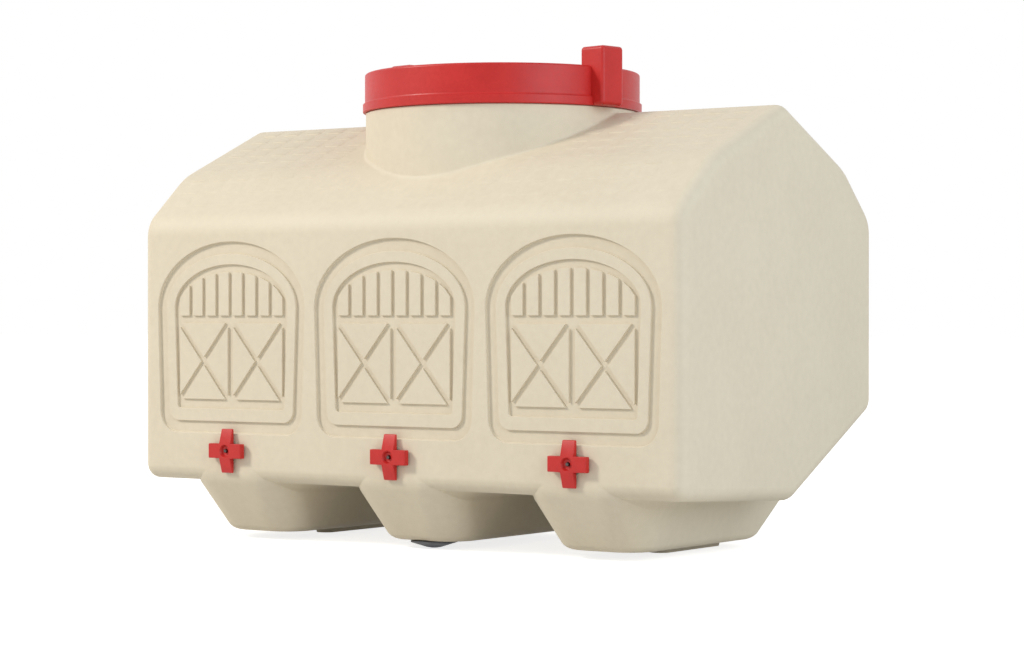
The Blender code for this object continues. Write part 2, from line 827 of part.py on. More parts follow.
def build_drinker(place, centre_x):
    pieces = []
    cross_front = cross_back + cross_thickness
    stem_end = cross_back - stem_length
    valve_seat = stem_end + valve_chamber_depth

    body = cross_plate("drinker_body_" + place, drinker_plastic)
    stem = rod("stem_" + place, stem_radius, stem_end, cross_back + touch, small_round_steps)
    join(body, stem)
    cup_floor = cross_front - cross_cup_depth
    cup_slope = (cross_cup_radius - cross_cup_floor_radius) / cross_cup_depth
    cup_profile = [
        (0.0, cross_front + touch),
        (cross_cup_radius + cup_slope * touch, cross_front + touch),
        (cross_cup_floor_radius, cup_floor),
        (pin_bore_radius, cup_floor),
        (pin_bore_radius, valve_seat),
        (valve_chamber_radius, valve_seat),
        (valve_chamber_radius, stem_end - touch),
        (0.0, stem_end - touch),
    ]
    passage = turned("passage_" + place, cup_profile, small_round_steps)
    cut(body, passage)
    pieces += [body, stem, passage]

    ring = ring_profile(washer_radius, stem_radius + stem_clearance, touch, touch + washer_thickness)
    pieces.append(turned("drinker_washer_" + place, ring, small_round_steps, seal_rubber, closed=True))

    nut_top = -tank_wall - touch
    hexagon = bmesh.new()
    corner_radius = nut_across_flats / math.sqrt(3)
    bmesh.ops.create_cone(
        hexagon,
        cap_ends=True,
        cap_tris=False,
        segments=6,
        radius1=corner_radius,
        radius2=corner_radius,
        depth=nut_thickness,
        matrix=Matrix.Translation((0.0, 0.0, nut_top - nut_thickness / 2)),
    )
    nut_name = "drinker_nut_" + place
    nut = add_object(nut_name, finish_mesh(nut_name, hexagon), nut_plastic)
    nut_bore = rod("nut_bore_" + place, stem_radius + stem_clearance, nut_top - nut_thickness - touch,
                   nut_top + touch, small_round_steps)
    cut(nut, nut_bore)
    pieces += [nut, nut_bore]

    seal_top = valve_seat - touch
    seal_bottom = seal_top - seal_thickness
    seal_ring = ring_profile(valve_chamber_radius - touch, pin_radius + touch, seal_bottom, seal_top)
    pieces.append(turned("drinker_seal_" + place, seal_ring, small_round_steps, seal_rubber, closed=True))

    head_top = seal_bottom - touch
    head_bottom = head_top - pin_head_thickness
    pin_profile = [
        (0.0, cross_front - pin_setback),
        (pin_radius - pin_tip_chamfer, cross_front - pin_setback),
        (pin_radius, cross_front - pin_setback - pin_tip_chamfer),
        (pin_radius, head_top),
        (pin_head_radius, head_top),
        (pin_head_radius, head_bottom),
        (pin_radius, head_bottom),
        (pin_radius, head_bottom - pin_tail),
        (0.0, head_bottom - pin_tail),
    ]
    pieces.append(turned("drinker_pin_" + place, pin_profile, pin_steps, stainless))

    cap_top = stem_end + cap_thickness
    cap_ring = ring_profile(valve_chamber_radius - touch, cap_bore_radius, stem_end, cap_top)
    pieces.append(turned("drinker_cap_" + place, cap_ring, small_round_steps, nut_plastic, closed=True))

    spring_top = head_bottom - touch - spring_wire_radius
    spring_bottom = cap_top + touch + spring_wire_radius
    pieces.append(coil("drinker_spring_" + place, spring_bottom, spring_top))
    for piece in pieces:
        face_forward(piece, centre_x)


def coil(name, low_z, high_z):
    wire = bpy.data.curves.new(name + "_wire", "CURVE")
    wire.dimensions = "3D"
    wire.bevel_depth = spring_wire_radius
    wire.bevel_resolution = 2
    wire.use_fill_caps = True
    count = round(spring_turns * spring_points_per_turn)
    line = wire.splines.new("POLY")
    line.points.add(count)
    for index in range(count + 1):
        share = index / count
        angle = 2 * math.pi * spring_turns * share
        line.points[index].co = (
            spring_radius * math.cos(angle),
            spring_radius * math.sin(angle),
            low_z + (high_z - low_z) * share,
            1.0,
        )
    source = bpy.data.objects.new(name + "_wire", wire)
    mesh = bpy.data.meshes.new_from_object(source)
    bpy.data.objects.remove(source, do_unlink=True)
    shape = bmesh.new()
    shape.from_mesh(mesh)
    bmesh.ops.remove_doubles(shape, verts=shape.verts[:], dist=merge_distance)
    return add_object(name, finish_mesh(name, shape), stainless)


build_tank()
build_lid()
build_bung()
for place, centre_x in stations.items():
    build_drinker(place, centre_x)

# The drinkers stand out in front, so the middle of the whole lies ahead of the tank's.
for collection in (parts, cutters):
    for item in collection.objects:
        item.location.y += front_reach / 2
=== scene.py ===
import math

import bmesh
import bpy
from mathutils import Matrix, Vector


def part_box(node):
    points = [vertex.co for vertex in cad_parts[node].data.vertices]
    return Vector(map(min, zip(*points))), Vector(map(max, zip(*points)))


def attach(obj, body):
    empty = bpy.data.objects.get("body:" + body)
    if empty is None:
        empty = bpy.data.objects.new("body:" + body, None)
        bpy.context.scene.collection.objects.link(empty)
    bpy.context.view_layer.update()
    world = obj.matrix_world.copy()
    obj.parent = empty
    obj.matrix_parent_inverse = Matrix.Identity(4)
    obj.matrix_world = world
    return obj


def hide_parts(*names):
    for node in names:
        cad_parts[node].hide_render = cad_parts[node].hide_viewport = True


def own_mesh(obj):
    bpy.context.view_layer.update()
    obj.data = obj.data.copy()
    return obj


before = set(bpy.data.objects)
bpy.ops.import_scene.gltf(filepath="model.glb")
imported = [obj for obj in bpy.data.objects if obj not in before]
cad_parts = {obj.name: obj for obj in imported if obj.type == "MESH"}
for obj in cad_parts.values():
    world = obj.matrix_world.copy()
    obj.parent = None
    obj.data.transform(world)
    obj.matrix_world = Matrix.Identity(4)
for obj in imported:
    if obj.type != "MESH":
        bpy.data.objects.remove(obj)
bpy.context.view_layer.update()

# Barn-shaped poultry waterer. X runs along the ridge, -Y is the front with the drinkers, Z is up.
# Everything is in metres, and mm is one millimetre.
mm = 0.001
weldGap = 0.000005
sliverGap = 0.000002
planeGap = 0.00001
tankLow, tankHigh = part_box("tank_body")
lidLow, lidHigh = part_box("screw_lid")
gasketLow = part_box("lid_gasket")[0]
bungLow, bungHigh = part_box("drain_bung")
middleY = (tankLow.y + tankHigh.y) / 2
halfWidth = (tankHigh.x - tankLow.x) / 2
halfDepth = (tankHigh.y - tankLow.y) / 2
frontY = -halfDepth
stations = {}
for place in ("left", "centre", "right"):
    crossLow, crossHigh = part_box("drinker_body_" + place)
    stations[place] = (crossLow.x + crossHigh.x) / 2
drinkerZ = (crossLow.z + crossHigh.z) / 2  # all three are level
print("frame loaded,", len(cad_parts), "nodes")


# A bmesh becomes an object with its normals outwards.
def addPiece(name, bm, material=None):
    bmesh.ops.remove_doubles(bm, verts=bm.verts, dist=weldGap)
    bmesh.ops.recalc_face_normals(bm, faces=bm.faces)
    mesh = bpy.data.meshes.new(name)
    bm.to_mesh(mesh)
    bm.free()
    piece = bpy.data.objects.new(name, mesh)
    bpy.context.scene.collection.objects.link(piece)
    if material:
        mesh.materials.append(material)
    return piece


def applyModifiers(piece):
    ready = piece.evaluated_get(bpy.context.evaluated_depsgraph_get())
    mesh = bpy.data.meshes.new_from_object(ready)
    old = piece.data
    piece.modifiers.clear()
    piece.data = mesh
    bpy.data.meshes.remove(old)
    mesh.name = piece.name


def combine(piece, tool, operation):
    step = piece.modifiers.new("combine", "BOOLEAN")
    step.operation = operation
    step.solver = "EXACT"
    step.object = tool
    applyModifiers(piece)
    bpy.data.objects.remove(tool, do_unlink=True)
    bm = bmesh.new()
    bm.from_mesh(piece.data)
    bmesh.ops.remove_doubles(bm, verts=bm.verts, dist=sliverGap)  # slivers would spoil the next step
    bm.to_mesh(piece.data)
    bm.free()


def weldOn(piece, tool):
    combine(piece, tool, "UNION")


def cutOut(piece, tool):
    combine(piece, tool, "DIFFERENCE")


def dress(piece, material):
    piece.data.materials.clear()
    piece.data.materials.append(material)


# Smooth shading that keeps real corners crisp and flat walls flat.
def smoothOver(piece, angle=34.0):
    piece.data.shade_smooth()
    piece.data.set_sharp_from_angle(angle=math.radians(angle))
    weights = piece.modifiers.new("face weights", "WEIGHTED_NORMAL")
    weights.keep_sharp = True


def soften(bm, edges, width, steps):
    bmesh.ops.recalc_face_normals(bm, faces=bm.faces)  # a bevel goes wrong between faces that disagree
    bmesh.ops.bevel(
        bm,
        geom=edges,
        offset=width,
        offset_type="OFFSET",
        segments=steps,
        profile=0.5,
        affect="EDGES",
        clamp_overlap=False,
        material=-1,
    )


def vertsOf(items):
    return [item for item in items if isinstance(item, bmesh.types.BMVert)]


# A flat outline drawn out in one direction. Gives its corners at both ends.
def drawOut(bm, points, along):
    corners = [bm.verts.new(point) for point in points]
    moved = vertsOf(bmesh.ops.extrude_face_region(bm, geom=[bm.faces.new(corners)])["geom"])
    bmesh.ops.translate(bm, verts=moved, vec=along)
    return corners, moved


def splitAt(bm, y):
    everything = bm.verts[:] + bm.edges[:] + bm.faces[:]
    bmesh.ops.bisect_plane(bm, geom=everything, dist=planeGap, plane_co=(0, y, 0), plane_no=(0, 1, 0))


# Corners are (u, v, radius) in order, and each radius becomes an arc of so many steps.
def roundedOutline(corners, steps):
    points = []
    count = len(corners)
    for index, (u, v, radius) in enumerate(corners):
        here = Vector((u, v))
        if radius <= 0:
            points.append(here)
            continue
        back = (Vector(corners[index - 1][:2]) - here).normalized()
        ahead = (Vector(corners[(index + 1) % count][:2]) - here).normalized()
        halfAngle = back.angle(ahead) / 2
        centre = here + (back + ahead).normalized() * radius / math.sin(halfAngle)
        first = here + back * radius / math.tan(halfAngle) - centre
        last = here + ahead * radius / math.tan(halfAngle) - centre
        turn = -first.angle_signed(last)
        for step in range(steps + 1):
            spoke = first.copy()
            spoke.rotate(Matrix.Rotation(turn * step / steps, 2))
            points.append(centre + spoke)
    return points


def roundedRectangle(halfX, lowY, highY, radius, steps):
    corners = [(-halfX, lowY, radius), (halfX, lowY, radius), (halfX, highY, radius), (-halfX, highY, radius)]
    return roundedOutline(corners, steps)


# Bridges outlines that lie one behind the other, and caps both ends. Gives the first outline's points.
def loft(bm, rings):
    loops = []
    for ring in rings:
        verts = [bm.verts.new(point) for point in ring]
        edges = [bm.edges.new((verts[index - 1], verts[index])) for index in range(len(verts))]
        loops.append((verts, edges))
    for (_, first), (_, second) in zip(loops, loops[1:]):
        bmesh.ops.bridge_loops(bm, edges=first + second)
    bm.faces.new(loops[0][0])
    bm.faces.new(loops[-1][0])
    return loops[0][0]


# Turns points and edges about the upright axis. A full turn is closed, and a thread climbs.
def spinRound(bm, geom, angle, steps, climb=0.0, close=False):
    bmesh.ops.spin(
        bm,
        geom=geom,
        cent=(0.0, 0.0, 0.0),
        axis=(0.0, 0.0, 1.0),
        dvec=(0.0, 0.0, climb),
        angle=angle,
        steps=steps,
        use_merge=close,
        use_duplicate=False,
    )


# A profile of (radius, z) turned once.
def turnedPiece(name, profile, steps, startAngle=0.0):
    bm = bmesh.new()
    verts = [bm.verts.new((radius, 0.0, z)) for radius, z in profile]
    edges = [bm.edges.new(pair) for pair in zip(verts, verts[1:])]
    spinRound(bm, verts + edges, 2 * math.pi, steps, close=True)
    bmesh.ops.remove_doubles(bm, verts=bm.verts, dist=weldGap)
    turn = Matrix.Rotation(math.radians(startAngle), 3, "Z")
    bmesh.ops.rotate(bm, cent=(0.0, 0.0, 0.0), matrix=turn, verts=bm.verts)
    return addPiece(name, bm)


def upright(name, radius, lowZ, highZ, steps, x=0.0, y=0.0):
    piece = turnedPiece(name, [(0.0, highZ), (radius, highZ), (radius, lowZ), (0.0, lowZ)], steps)
    piece.data.transform(Matrix.Translation((x, y, 0.0)))
    return piece


# A quarter arc as (along, across) pairs that start on the first wall and end on the second.
def quarter(radius, steps):
    pairs = []
    for step in range(steps + 1):
        angle = math.pi / 2 * step / steps
        pairs.append((radius * math.sin(angle), radius * (1 - math.cos(angle))))
    return pairs


# The noise is dark or smooth below the first number of a pair, and light or rough above the second.
colourSpan = (0.36, 0.64)
roughSpan = (0.3, 0.7)


# Plastic, rubber and metal are all built from one recipe:
# slow cloudy colour, a fine grain in colour and roughness, and two scales of bump.
def madeOf(name, recipe):
    material = bpy.data.materials.new(name)
    material.use_nodes = True
    nodes = material.node_tree.nodes
    links = material.node_tree.links
    shader = nodes["Principled BSDF"]
    shader.inputs["Metallic"].default_value = recipe.get("metal", 0.0)
    shader.inputs["IOR"].default_value = recipe.get("ior", 1.5)
    place = nodes.new("ShaderNodeTexCoord")
    stretch = nodes.new("ShaderNodeMapping")
    stretch.inputs["Scale"].default_value = recipe.get("stretch", (1.0, 1.0, 1.0))
    links.new(place.outputs["Object"], stretch.inputs["Vector"])

    def noise(size, detail, rough):
        texture = nodes.new("ShaderNodeTexNoise")
        texture.inputs["Scale"].default_value = 1.0 / size
        texture.inputs["Detail"].default_value = detail
        texture.inputs["Roughness"].default_value = rough
        links.new(stretch.outputs["Vector"], texture.inputs["Vector"])
        return texture.outputs["Fac"]

    clouds = noise(recipe["cloudSize"], 3.0, 0.55)
    grain = noise(recipe["grainSize"], 4.0, 0.6)
    mixed = nodes.new("ShaderNodeMix")
    mixed.data_type = "FLOAT"
    mixed.inputs["Factor"].default_value = recipe["grainShare"]
    links.new(clouds, mixed.inputs["A"])
    links.new(grain, mixed.inputs["B"])
    ramp = nodes.new("ShaderNodeValToRGB")
    ramp.color_ramp.elements[0].position = colourSpan[0]
    ramp.color_ramp.elements[0].color = (*recipe["dark"], 1.0)
    ramp.color_ramp.elements[1].position = colourSpan[1]
    ramp.color_ramp.elements[1].color = (*recipe["light"], 1.0)
    links.new(mixed.outputs["Result"], ramp.inputs["Fac"])
    links.new(ramp.outputs["Color"], shader.inputs["Base Color"])

    rough = nodes.new("ShaderNodeMapRange")
    rough.inputs["From Min"].default_value = roughSpan[0]
    rough.inputs["From Max"].default_value = roughSpan[1]
    rough.inputs["To Min"].default_value = recipe["roughness"] - recipe["roughnessSpread"]
    rough.inputs["To Max"].default_value = recipe["roughness"] + recipe["roughnessSpread"]
    links.new(grain, rough.inputs["Value"])
    links.new(rough.outputs["Result"], shader.inputs["Roughness"])

    waves = nodes.new("ShaderNodeBump")
    waves.inputs["Strength"].default_value = recipe["waveStrength"]
    waves.inputs["Distance"].default_value = recipe["waveDepth"]
    links.new(noise(recipe["waveSize"], 1.0, 0.4), waves.inputs["Height"])
    skin = nodes.new("ShaderNodeBump")
    skin.inputs["Strength"].default_value = recipe["skinStrength"]
    skin.inputs["Distance"].default_value = recipe["skinDepth"]
    links.new(noise(recipe["skinSize"], 2.0, 0.5), skin.inputs["Height"])
    links.new(waves.outputs["Normal"], skin.inputs["Normal"])
    links.new(skin.outputs["Normal"], shader.inputs["Normal"])
    return material


sandPlasticLook = {
    "dark": (0.690, 0.610, 0.468),
    "light": (0.735, 0.655, 0.508),
    "cloudSize": 70 * mm,
    "grainSize": 7 * mm,
    "grainShare": 0.6,
    "roughness": 0.60,
    "roughnessSpread": 0.06,
    "waveSize": 55 * mm,
    "waveStrength": 0.2,
    "waveDepth": 1.0 * mm,
    "skinSize": 1.6 * mm,
    "skinStrength": 0.25,
    "skinDepth": 0.12 * mm,
}
redPlasticLook = {
    "dark": (0.500, 0.016, 0.014),
    "light": (0.580, 0.024, 0.020),
    "cloudSize": 30 * mm,
    "grainSize": 3 * mm,
    "grainShare": 0.4,
    "ior": 1.42,
    "roughness": 0.40,
    "roughnessSpread": 0.06,
    "waveSize": 24 * mm,
    "waveStrength": 0.2,
    "waveDepth": 0.3 * mm,
    "skinSize": 0.9 * mm,
    "skinStrength": 0.2,
    "skinDepth": 0.05 * mm,
}
whitePlasticLook = {
    "dark": (0.62, 0.61, 0.57),
    "light": (0.72, 0.71, 0.67),
    "cloudSize": 14 * mm,
    "grainSize": 1.5 * mm,
    "grainShare": 0.35,
    "roughness": 0.42,
    "roughnessSpread": 0.05,
    "waveSize": 9 * mm,
    "waveStrength": 0.15,
    "waveDepth": 0.1 * mm,
    "skinSize": 0.6 * mm,
    "skinStrength": 0.15,
    "skinDepth": 0.03 * mm,
}
blackRubberLook = {
    "dark": (0.014, 0.014, 0.015),
    "light": (0.030, 0.030, 0.032),
    "cloudSize": 12 * mm,
    "grainSize": 1.2 * mm,
    "grainShare": 0.5,
    "roughness": 0.66,
    "roughnessSpread": 0.10,
    "waveSize": 8 * mm,
    "waveStrength": 0.2,
    "waveDepth": 0.15 * mm,
    "skinSize": 0.5 * mm,
    "skinStrength": 0.35,
    "skinDepth": 0.04 * mm,
}
greyRubberLook = dict(blackRubberLook, dark=(0.085, 0.088, 0.096), light=(0.130, 0.134, 0.144))
sandRubberLook = dict(blackRubberLook, dark=(0.300, 0.262, 0.200), light=(0.360, 0.318, 0.245))
steelLook = {
    "dark": (0.42, 0.41, 0.40),
    "light": (0.56, 0.55, 0.54),
    "stretch": (1.0, 0.08, 1.0),
    "cloudSize": 2 * mm,
    "grainSize": 0.25 * mm,
    "grainShare": 0.5,
    "roughness": 0.32,
    "roughnessSpread": 0.09,
    "waveSize": 1.5 * mm,
    "waveStrength": 0.1,
    "waveDepth": 0.02 * mm,
    "skinSize": 0.2 * mm,
    "skinStrength": 0.25,
    "skinDepth": 0.01 * mm,
    "metal": 1.0,
}
# a darker copy of the steel for the drinker pins: its near-black colour is painted shade for the pin deep in
# its cup, and its higher roughness is a real dull finish
dullSteelPaintedShadeLook = dict(steelLook, dark=(0.075, 0.066, 0.062), light=(0.120, 0.106, 0.100), roughness=0.45)
sandPlastic = madeOf("sand_moulded_plastic", sandPlasticLook)
redPlastic = madeOf("red_satin_plastic", redPlasticLook)
whitePlastic = madeOf("natural_nut_plastic", whitePlasticLook)
blackRubber = madeOf("black_seal_rubber", blackRubberLook)
greyRubber = madeOf("grey_bung_rubber", greyRubberLook)
sandRubber = madeOf("sand_washer_rubber", sandRubberLook)
steel = madeOf("drawn_steel", steelLook)
dullSteelPaintedShade = madeOf("dull_pin_steel_painted_shade", dullSteelPaintedShadeLook)
print("materials ready")


barn = {
    "frontBottomZ": 53.5 * mm,
    "kneeY": 13.5 * mm,
    "kneeZ": 45.1 * mm,
    "chamferTopZ": 117.0 * mm,
    "eaveZ": 282.0 * mm,
    "bendY": 109.0 * mm,
    "bendZ": 325.8 * mm,
    "ridgeZ": 374.0 * mm,
    "baseRadius": 13.0 * mm,
    "kneeRadius": 20.0 * mm,
    "rearRadius": 15.0 * mm,
    "eaveRadius": 28.0 * mm,
    "bendRadius": 66.0 * mm,
    "ridgeRadius": 14.0 * mm,
    "endRadius": 11.5 * mm,
    "endDraft": 3.85 * mm,
    "wall": 5.0 * mm,
    "arcSteps": 12,
    "endSteps": 7,
    "insideArcSteps": 4,
    "insideEndSteps": 3,
}
# the roof has a shallow upper and a steep lower slope, with a soft bend between them
upperTilt = math.atan2(barn["ridgeZ"] - barn["bendZ"], barn["bendY"])
lowerTilt = math.atan2(barn["bendZ"] - barn["eaveZ"], halfDepth - barn["bendY"])
bendReach = barn["bendRadius"] * math.tan((lowerTilt - upperTilt) / 2)


# Side view of the tank, anticlockwise from the front of the underside. A wall's inside is inset.
def barnOutline(inset, steps):
    corners = [
        (-halfDepth, barn["frontBottomZ"], barn["baseRadius"]),
        (barn["kneeY"], barn["kneeZ"], barn["kneeRadius"]),
        (halfDepth, barn["chamferTopZ"], barn["rearRadius"]),
        (halfDepth, barn["eaveZ"], barn["eaveRadius"]),
        (barn["bendY"], barn["bendZ"], barn["bendRadius"]),
        (0.0, barn["ridgeZ"], barn["ridgeRadius"]),
        (-barn["bendY"], barn["bendZ"], barn["bendRadius"]),
        (-halfDepth, barn["eaveZ"], barn["eaveRadius"]),
    ]
    lines = []
    for index, (u, v, radius) in enumerate(corners):
        start = Vector((u, v))
        along = (Vector(corners[(index + 1) % len(corners)][:2]) - start).normalized()
        lines.append((start + Vector((-along.y, along.x)) * inset, along))
    moved = []
    for index, (point, along) in enumerate(lines):
        before, beforeAlong = lines[index - 1]
        reach = (point - before).cross(along) / beforeAlong.cross(along)
        meeting = before + beforeAlong * reach
        moved.append((meeting.x, meeting.y, max(corners[index][2] - inset, 0.0)))
    return roundedOutline(moved, steps)


def barnBlock(name, inset, steps, endSteps):
    bm = bmesh.new()
    drawOut(bm, [(-1.0, point.x, point.y) for point in barnOutline(inset, steps)], (2.0, 0.0, 0.0))
    splitAt(bm, 0.0)
    # both end walls are a shallow roof shape, with the mould's parting line at their middle
    for vert in bm.verts:
        reach = halfWidth - barn["endDraft"] * abs(vert.co.y) / halfDepth - inset
        vert.co.x = math.copysign(reach, vert.co.x)
    rims = []
    for edge in bm.edges:
        start, end = edge.verts
        parting = abs(start.co.y) + abs(end.co.y) < planeGap
        if start.co.x * end.co.x > 0 and not parting:
            rims.append(edge)
    soften(bm, rims, barn["endRadius"] - inset, endSteps)
    return addPiece(name, bm)


# A place on the roof so far down the slope from the ridge, as (y, z, tilt), for the rear slope.
def onSlope(distance):
    bendStart = barn["bendY"] / math.cos(upperTilt) - bendReach
    startY = bendStart * math.cos(upperTilt)
    startZ = barn["ridgeZ"] - bendStart * math.sin(upperTilt)
    if distance < bendStart:
        past = distance - bendStart
        return startY + past * math.cos(upperTilt), startZ - past * math.sin(upperTilt), upperTilt
    radius = barn["bendRadius"]
    tilt = min(upperTilt + (distance - bendStart) / radius, lowerTilt)
    past = distance - bendStart - radius * (tilt - upperTilt)
    y = startY + radius * (math.sin(tilt) - math.sin(upperTilt)) + past * math.cos(tilt)
    z = startZ + radius * (math.cos(tilt) - math.cos(upperTilt)) - past * math.sin(tilt)
    return y, z, tilt


def roofHeight(y):
    across = abs(y)
    if across < barn["ridgeRadius"] * math.sin(upperTilt):
        centreZ = barn["ridgeZ"] - barn["ridgeRadius"] / math.cos(upperTilt)
        return centreZ + math.sqrt(barn["ridgeRadius"] ** 2 - across ** 2)
    distance = across / math.cos(upperTilt)
    for _ in range(12):
        slopeY, z, tilt = onSlope(distance)
        distance += (across - slopeY) / math.cos(tilt)
    return z


lobe = {
    "bottomZ": 7.2 * mm,
    "shoulderZ": 57.0 * mm,
    "topZ": 130.0 * mm,
    "halfBottom": 43.0 * mm,
    "halfTop": 57.0 * mm,
    "frontSetback": 0.1 * mm,
    "frontSlant": 34.5 * mm,
    "hiddenSetback": 8.5 * mm,
    "rearY": 126.0 * mm,
    "rearSlant": 48.0 * mm,
    "cornerBottom": 30.0 * mm,
    "cornerTop": 32.0 * mm,
    "brow": 6.0 * mm,
    "browSteps": 6,
    "edgeRadius": 6.5 * mm,
    "cornerSteps": 12,
    "sideCuts": 12,
    "edgeSteps": 5,
    "filletRadius": 8.0 * mm,
    "filletSteps": 5,
    "filletLift": 0.1 * mm,
    "skirtOut": 0.6 * mm,
    "skirtRise": 5.0 * mm,
}


# The underside's height, with its soft knee and its rounding up into the front wall.
def undersideHeight(y):
    fall = (barn["kneeZ"] - barn["frontBottomZ"]) / (barn["kneeY"] + halfDepth)
    climb = (barn["chamferTopZ"] - barn["kneeZ"]) / (halfDepth - barn["kneeY"])
    bend = barn["kneeRadius"] * math.tan((math.atan(climb) - math.atan(fall)) / 2)
    past = y - barn["kneeY"]
    height = barn["kneeZ"] + (fall if past < 0 else climb) * past
    if abs(past) < bend:
        height = barn["kneeZ"] + fall * past + (climb - fall) * (past + bend) ** 2 / (4 * bend)
    radius = barn["baseRadius"]
    inwards = min(max(y - frontY, 0.0), radius)
    return height + radius - math.sqrt(radius ** 2 - (radius - inwards) ** 2)


# The straight sides get points of their own, so that they can follow the bent underside.
def lobePlan(halfX, lowY, highY, radius):
    arcs = roundedRectangle(halfX, lowY, highY, radius, lobe["cornerSteps"])
    run = lobe["cornerSteps"] + 1
    points = []
    for side in range(4):
        points += arcs[side * run:(side + 1) * run]
        nextArc = arcs[(side + 1) * run % len(arcs)]
        last = points[-1]
        points += [last.lerp(nextArc, cut / lobe["sideCuts"]) for cut in range(1, lobe["sideCuts"])]
    return points


# The lobe's plan at its floor and at its shoulder, point for point.
def lobePlans(inset):
    shoulderY = frontY + lobe["frontSetback"]
    floorPlan = lobePlan(
        lobe["halfBottom"] - inset,
        shoulderY + lobe["frontSlant"] + inset,
        lobe["rearY"] - lobe["rearSlant"] - inset,
        lobe["cornerBottom"] - inset,
    )
    shoulderPlan = lobePlan(
        lobe["halfTop"] - inset,
        shoulderY + inset,
        lobe["rearY"] - inset,
        lobe["cornerTop"] - inset,
    )
    return floorPlan, shoulderPlan


def softenFloor(bm, floorRing, radius):
    floorVerts = set(floorRing)
    rim = [edge for edge in bm.edges if edge.verts[0] in floorVerts and edge.verts[1] in floorVerts]
    soften(bm, rim, radius, lobe["edgeSteps"])


# Outside, each lobe flares into the underside with a fillet that fades out towards its front.
def lobesOutside():
    bm = bmesh.new()
    floorPlan, shoulderPlan = lobePlans(0.0)
    count = len(shoulderPlan)
    normals = []
    fillets = []
    for index in range(count):
        along = shoulderPlan[(index + 1) % count] - shoulderPlan[index - 1]
        normal = Vector((along.y, -along.x)).normalized()
        normals.append(normal)
        share = min(max((normal.y + 1.0) / 0.8, 0.0), 1.0)
        fillets.append(lobe["filletRadius"] * share * share * (3 - 2 * share))

    # where a point of the wall stands at height z: slanted, and bent upright across the shoulder
    def wallSpot(index, z):
        height = lobe["shoulderZ"] - lobe["bottomZ"]
        above = z - lobe["shoulderZ"]
        climb = min((z - lobe["bottomZ"]) / height, 1.0)
        if abs(above) < lobe["brow"]:
            climb = 1 - (lobe["brow"] - above) ** 2 / (4 * lobe["brow"] * height)
        return floorPlan[index].lerp(shoulderPlan[index], climb)

    # the height at which the wall meets the fillet, found by going back and forth a few times
    def filletStartZ(index):
        z = lobe["shoulderZ"] + lobe["brow"]
        for _ in range(20):
            z = undersideHeight(wallSpot(index, z).y) - fillets[index]
        return z

    # a ring of the fillet: outwards and down by shares of it, then further out and up by fixed sizes
    def ringAt(centreX, outShare, out, downShare, up):
        points = []
        for index, fillet in enumerate(fillets):
            spot = wallSpot(index, filletStartZ(index)) + normals[index] * (fillet * outShare + out)
            spot.y = max(spot.y, frontY + lobe["frontSetback"])
            points.append((centreX + spot.x, spot.y, undersideHeight(spot.y) - fillet * downShare + up))
        return points

    # heights of the wall's points below the fillet, close together across the shoulder
    def wallHeights(index):
        low = lobe["bottomZ"]
        high = filletStartZ(index)
        browLow = min(lobe["shoulderZ"] - lobe["brow"], low + 0.75 * (high - low))
        browHigh = min(lobe["shoulderZ"] + lobe["brow"], high)
        steps = lobe["browSteps"]
        brow = [browLow + (browHigh - browLow) * step / steps for step in range(steps + 1)]
        return [low, low + 0.4 * (browLow - low)] + brow

    heights = [wallHeights(index) for index in range(count)]
    for centreX in stations.values():
        rings = []
        for level in range(len(heights[0])):
            ring = []
            for index in range(count):
                z = heights[index][level]
                spot = wallSpot(index, z)
                ring.append((centreX + spot.x, spot.y, z))
            rings.append(ring)
        rings.append(ringAt(centreX, 0.0, 0.0, 1.0, 0.02 * mm))
        for step in range(1, lobe["filletSteps"] + 1):
            angle = math.pi / 2 * step / lobe["filletSteps"]
            rings.append(ringAt(centreX, 1 - math.cos(angle), 0.0, 1 - math.sin(angle), lobe["filletLift"]))
        for rise in (lobe["skirtRise"] / 10, lobe["skirtRise"]):
            rings.append(ringAt(centreX, 1.0, lobe["skirtOut"], 0.0, rise))
        top = lobePlan(lobe["halfTop"], frontY + lobe["hiddenSetback"], lobe["rearY"], lobe["cornerTop"])
        rings.append([(centreX + point.x, point.y, lobe["topZ"]) for point in top])
        softenFloor(bm, loft(bm, rings), lobe["edgeRadius"])
    return addPiece("lobes_outside", bm)


def lobesInside():
    bm = bmesh.new()
    wall = barn["wall"]
    floorPlan, shoulderPlan = lobePlans(wall)
    top = lobePlan(
        lobe["halfTop"] - wall,
        frontY + lobe["hiddenSetback"] + wall,
        lobe["rearY"] - wall,
        lobe["cornerTop"] - wall,
    )
    levels = [(floorPlan, lobe["bottomZ"] + wall), (shoulderPlan, lobe["shoulderZ"]), (top, lobe["topZ"])]
    for centreX in stations.values():
        rings = [[(centreX + point.x, point.y, z) for point in plan] for plan, z in levels]
        softenFloor(bm, loft(bm, rings), lobe["edgeRadius"] - wall)
    return addPiece("lobes_inside", bm)


foot = {
    "halfWidth": 9.0 * mm,
    "frontY": -34.0 * mm,
    "rearY": 62.0 * mm,
    "cornerRadius": 9.0 * mm,
    "taper": 1.5 * mm,
    "sink": 1.2 * mm,
    "cornerSteps": 8,
}


def footPads():
    bm = bmesh.new()
    for centreX in (stations["left"], stations["right"]):
        rings = []
        for z, grow in ((0.0, 0.0), (lobe["bottomZ"] + foot["sink"], foot["taper"])):
            plan = roundedRectangle(
                foot["halfWidth"] + grow,
                foot["frontY"] - grow,
                foot["rearY"] + grow,
                foot["cornerRadius"],
                foot["cornerSteps"],
            )
            rings.append([(centreX + point.x, point.y, z) for point in plan])
        loft(bm, rings)
    return addPiece("foot_pads", bm)


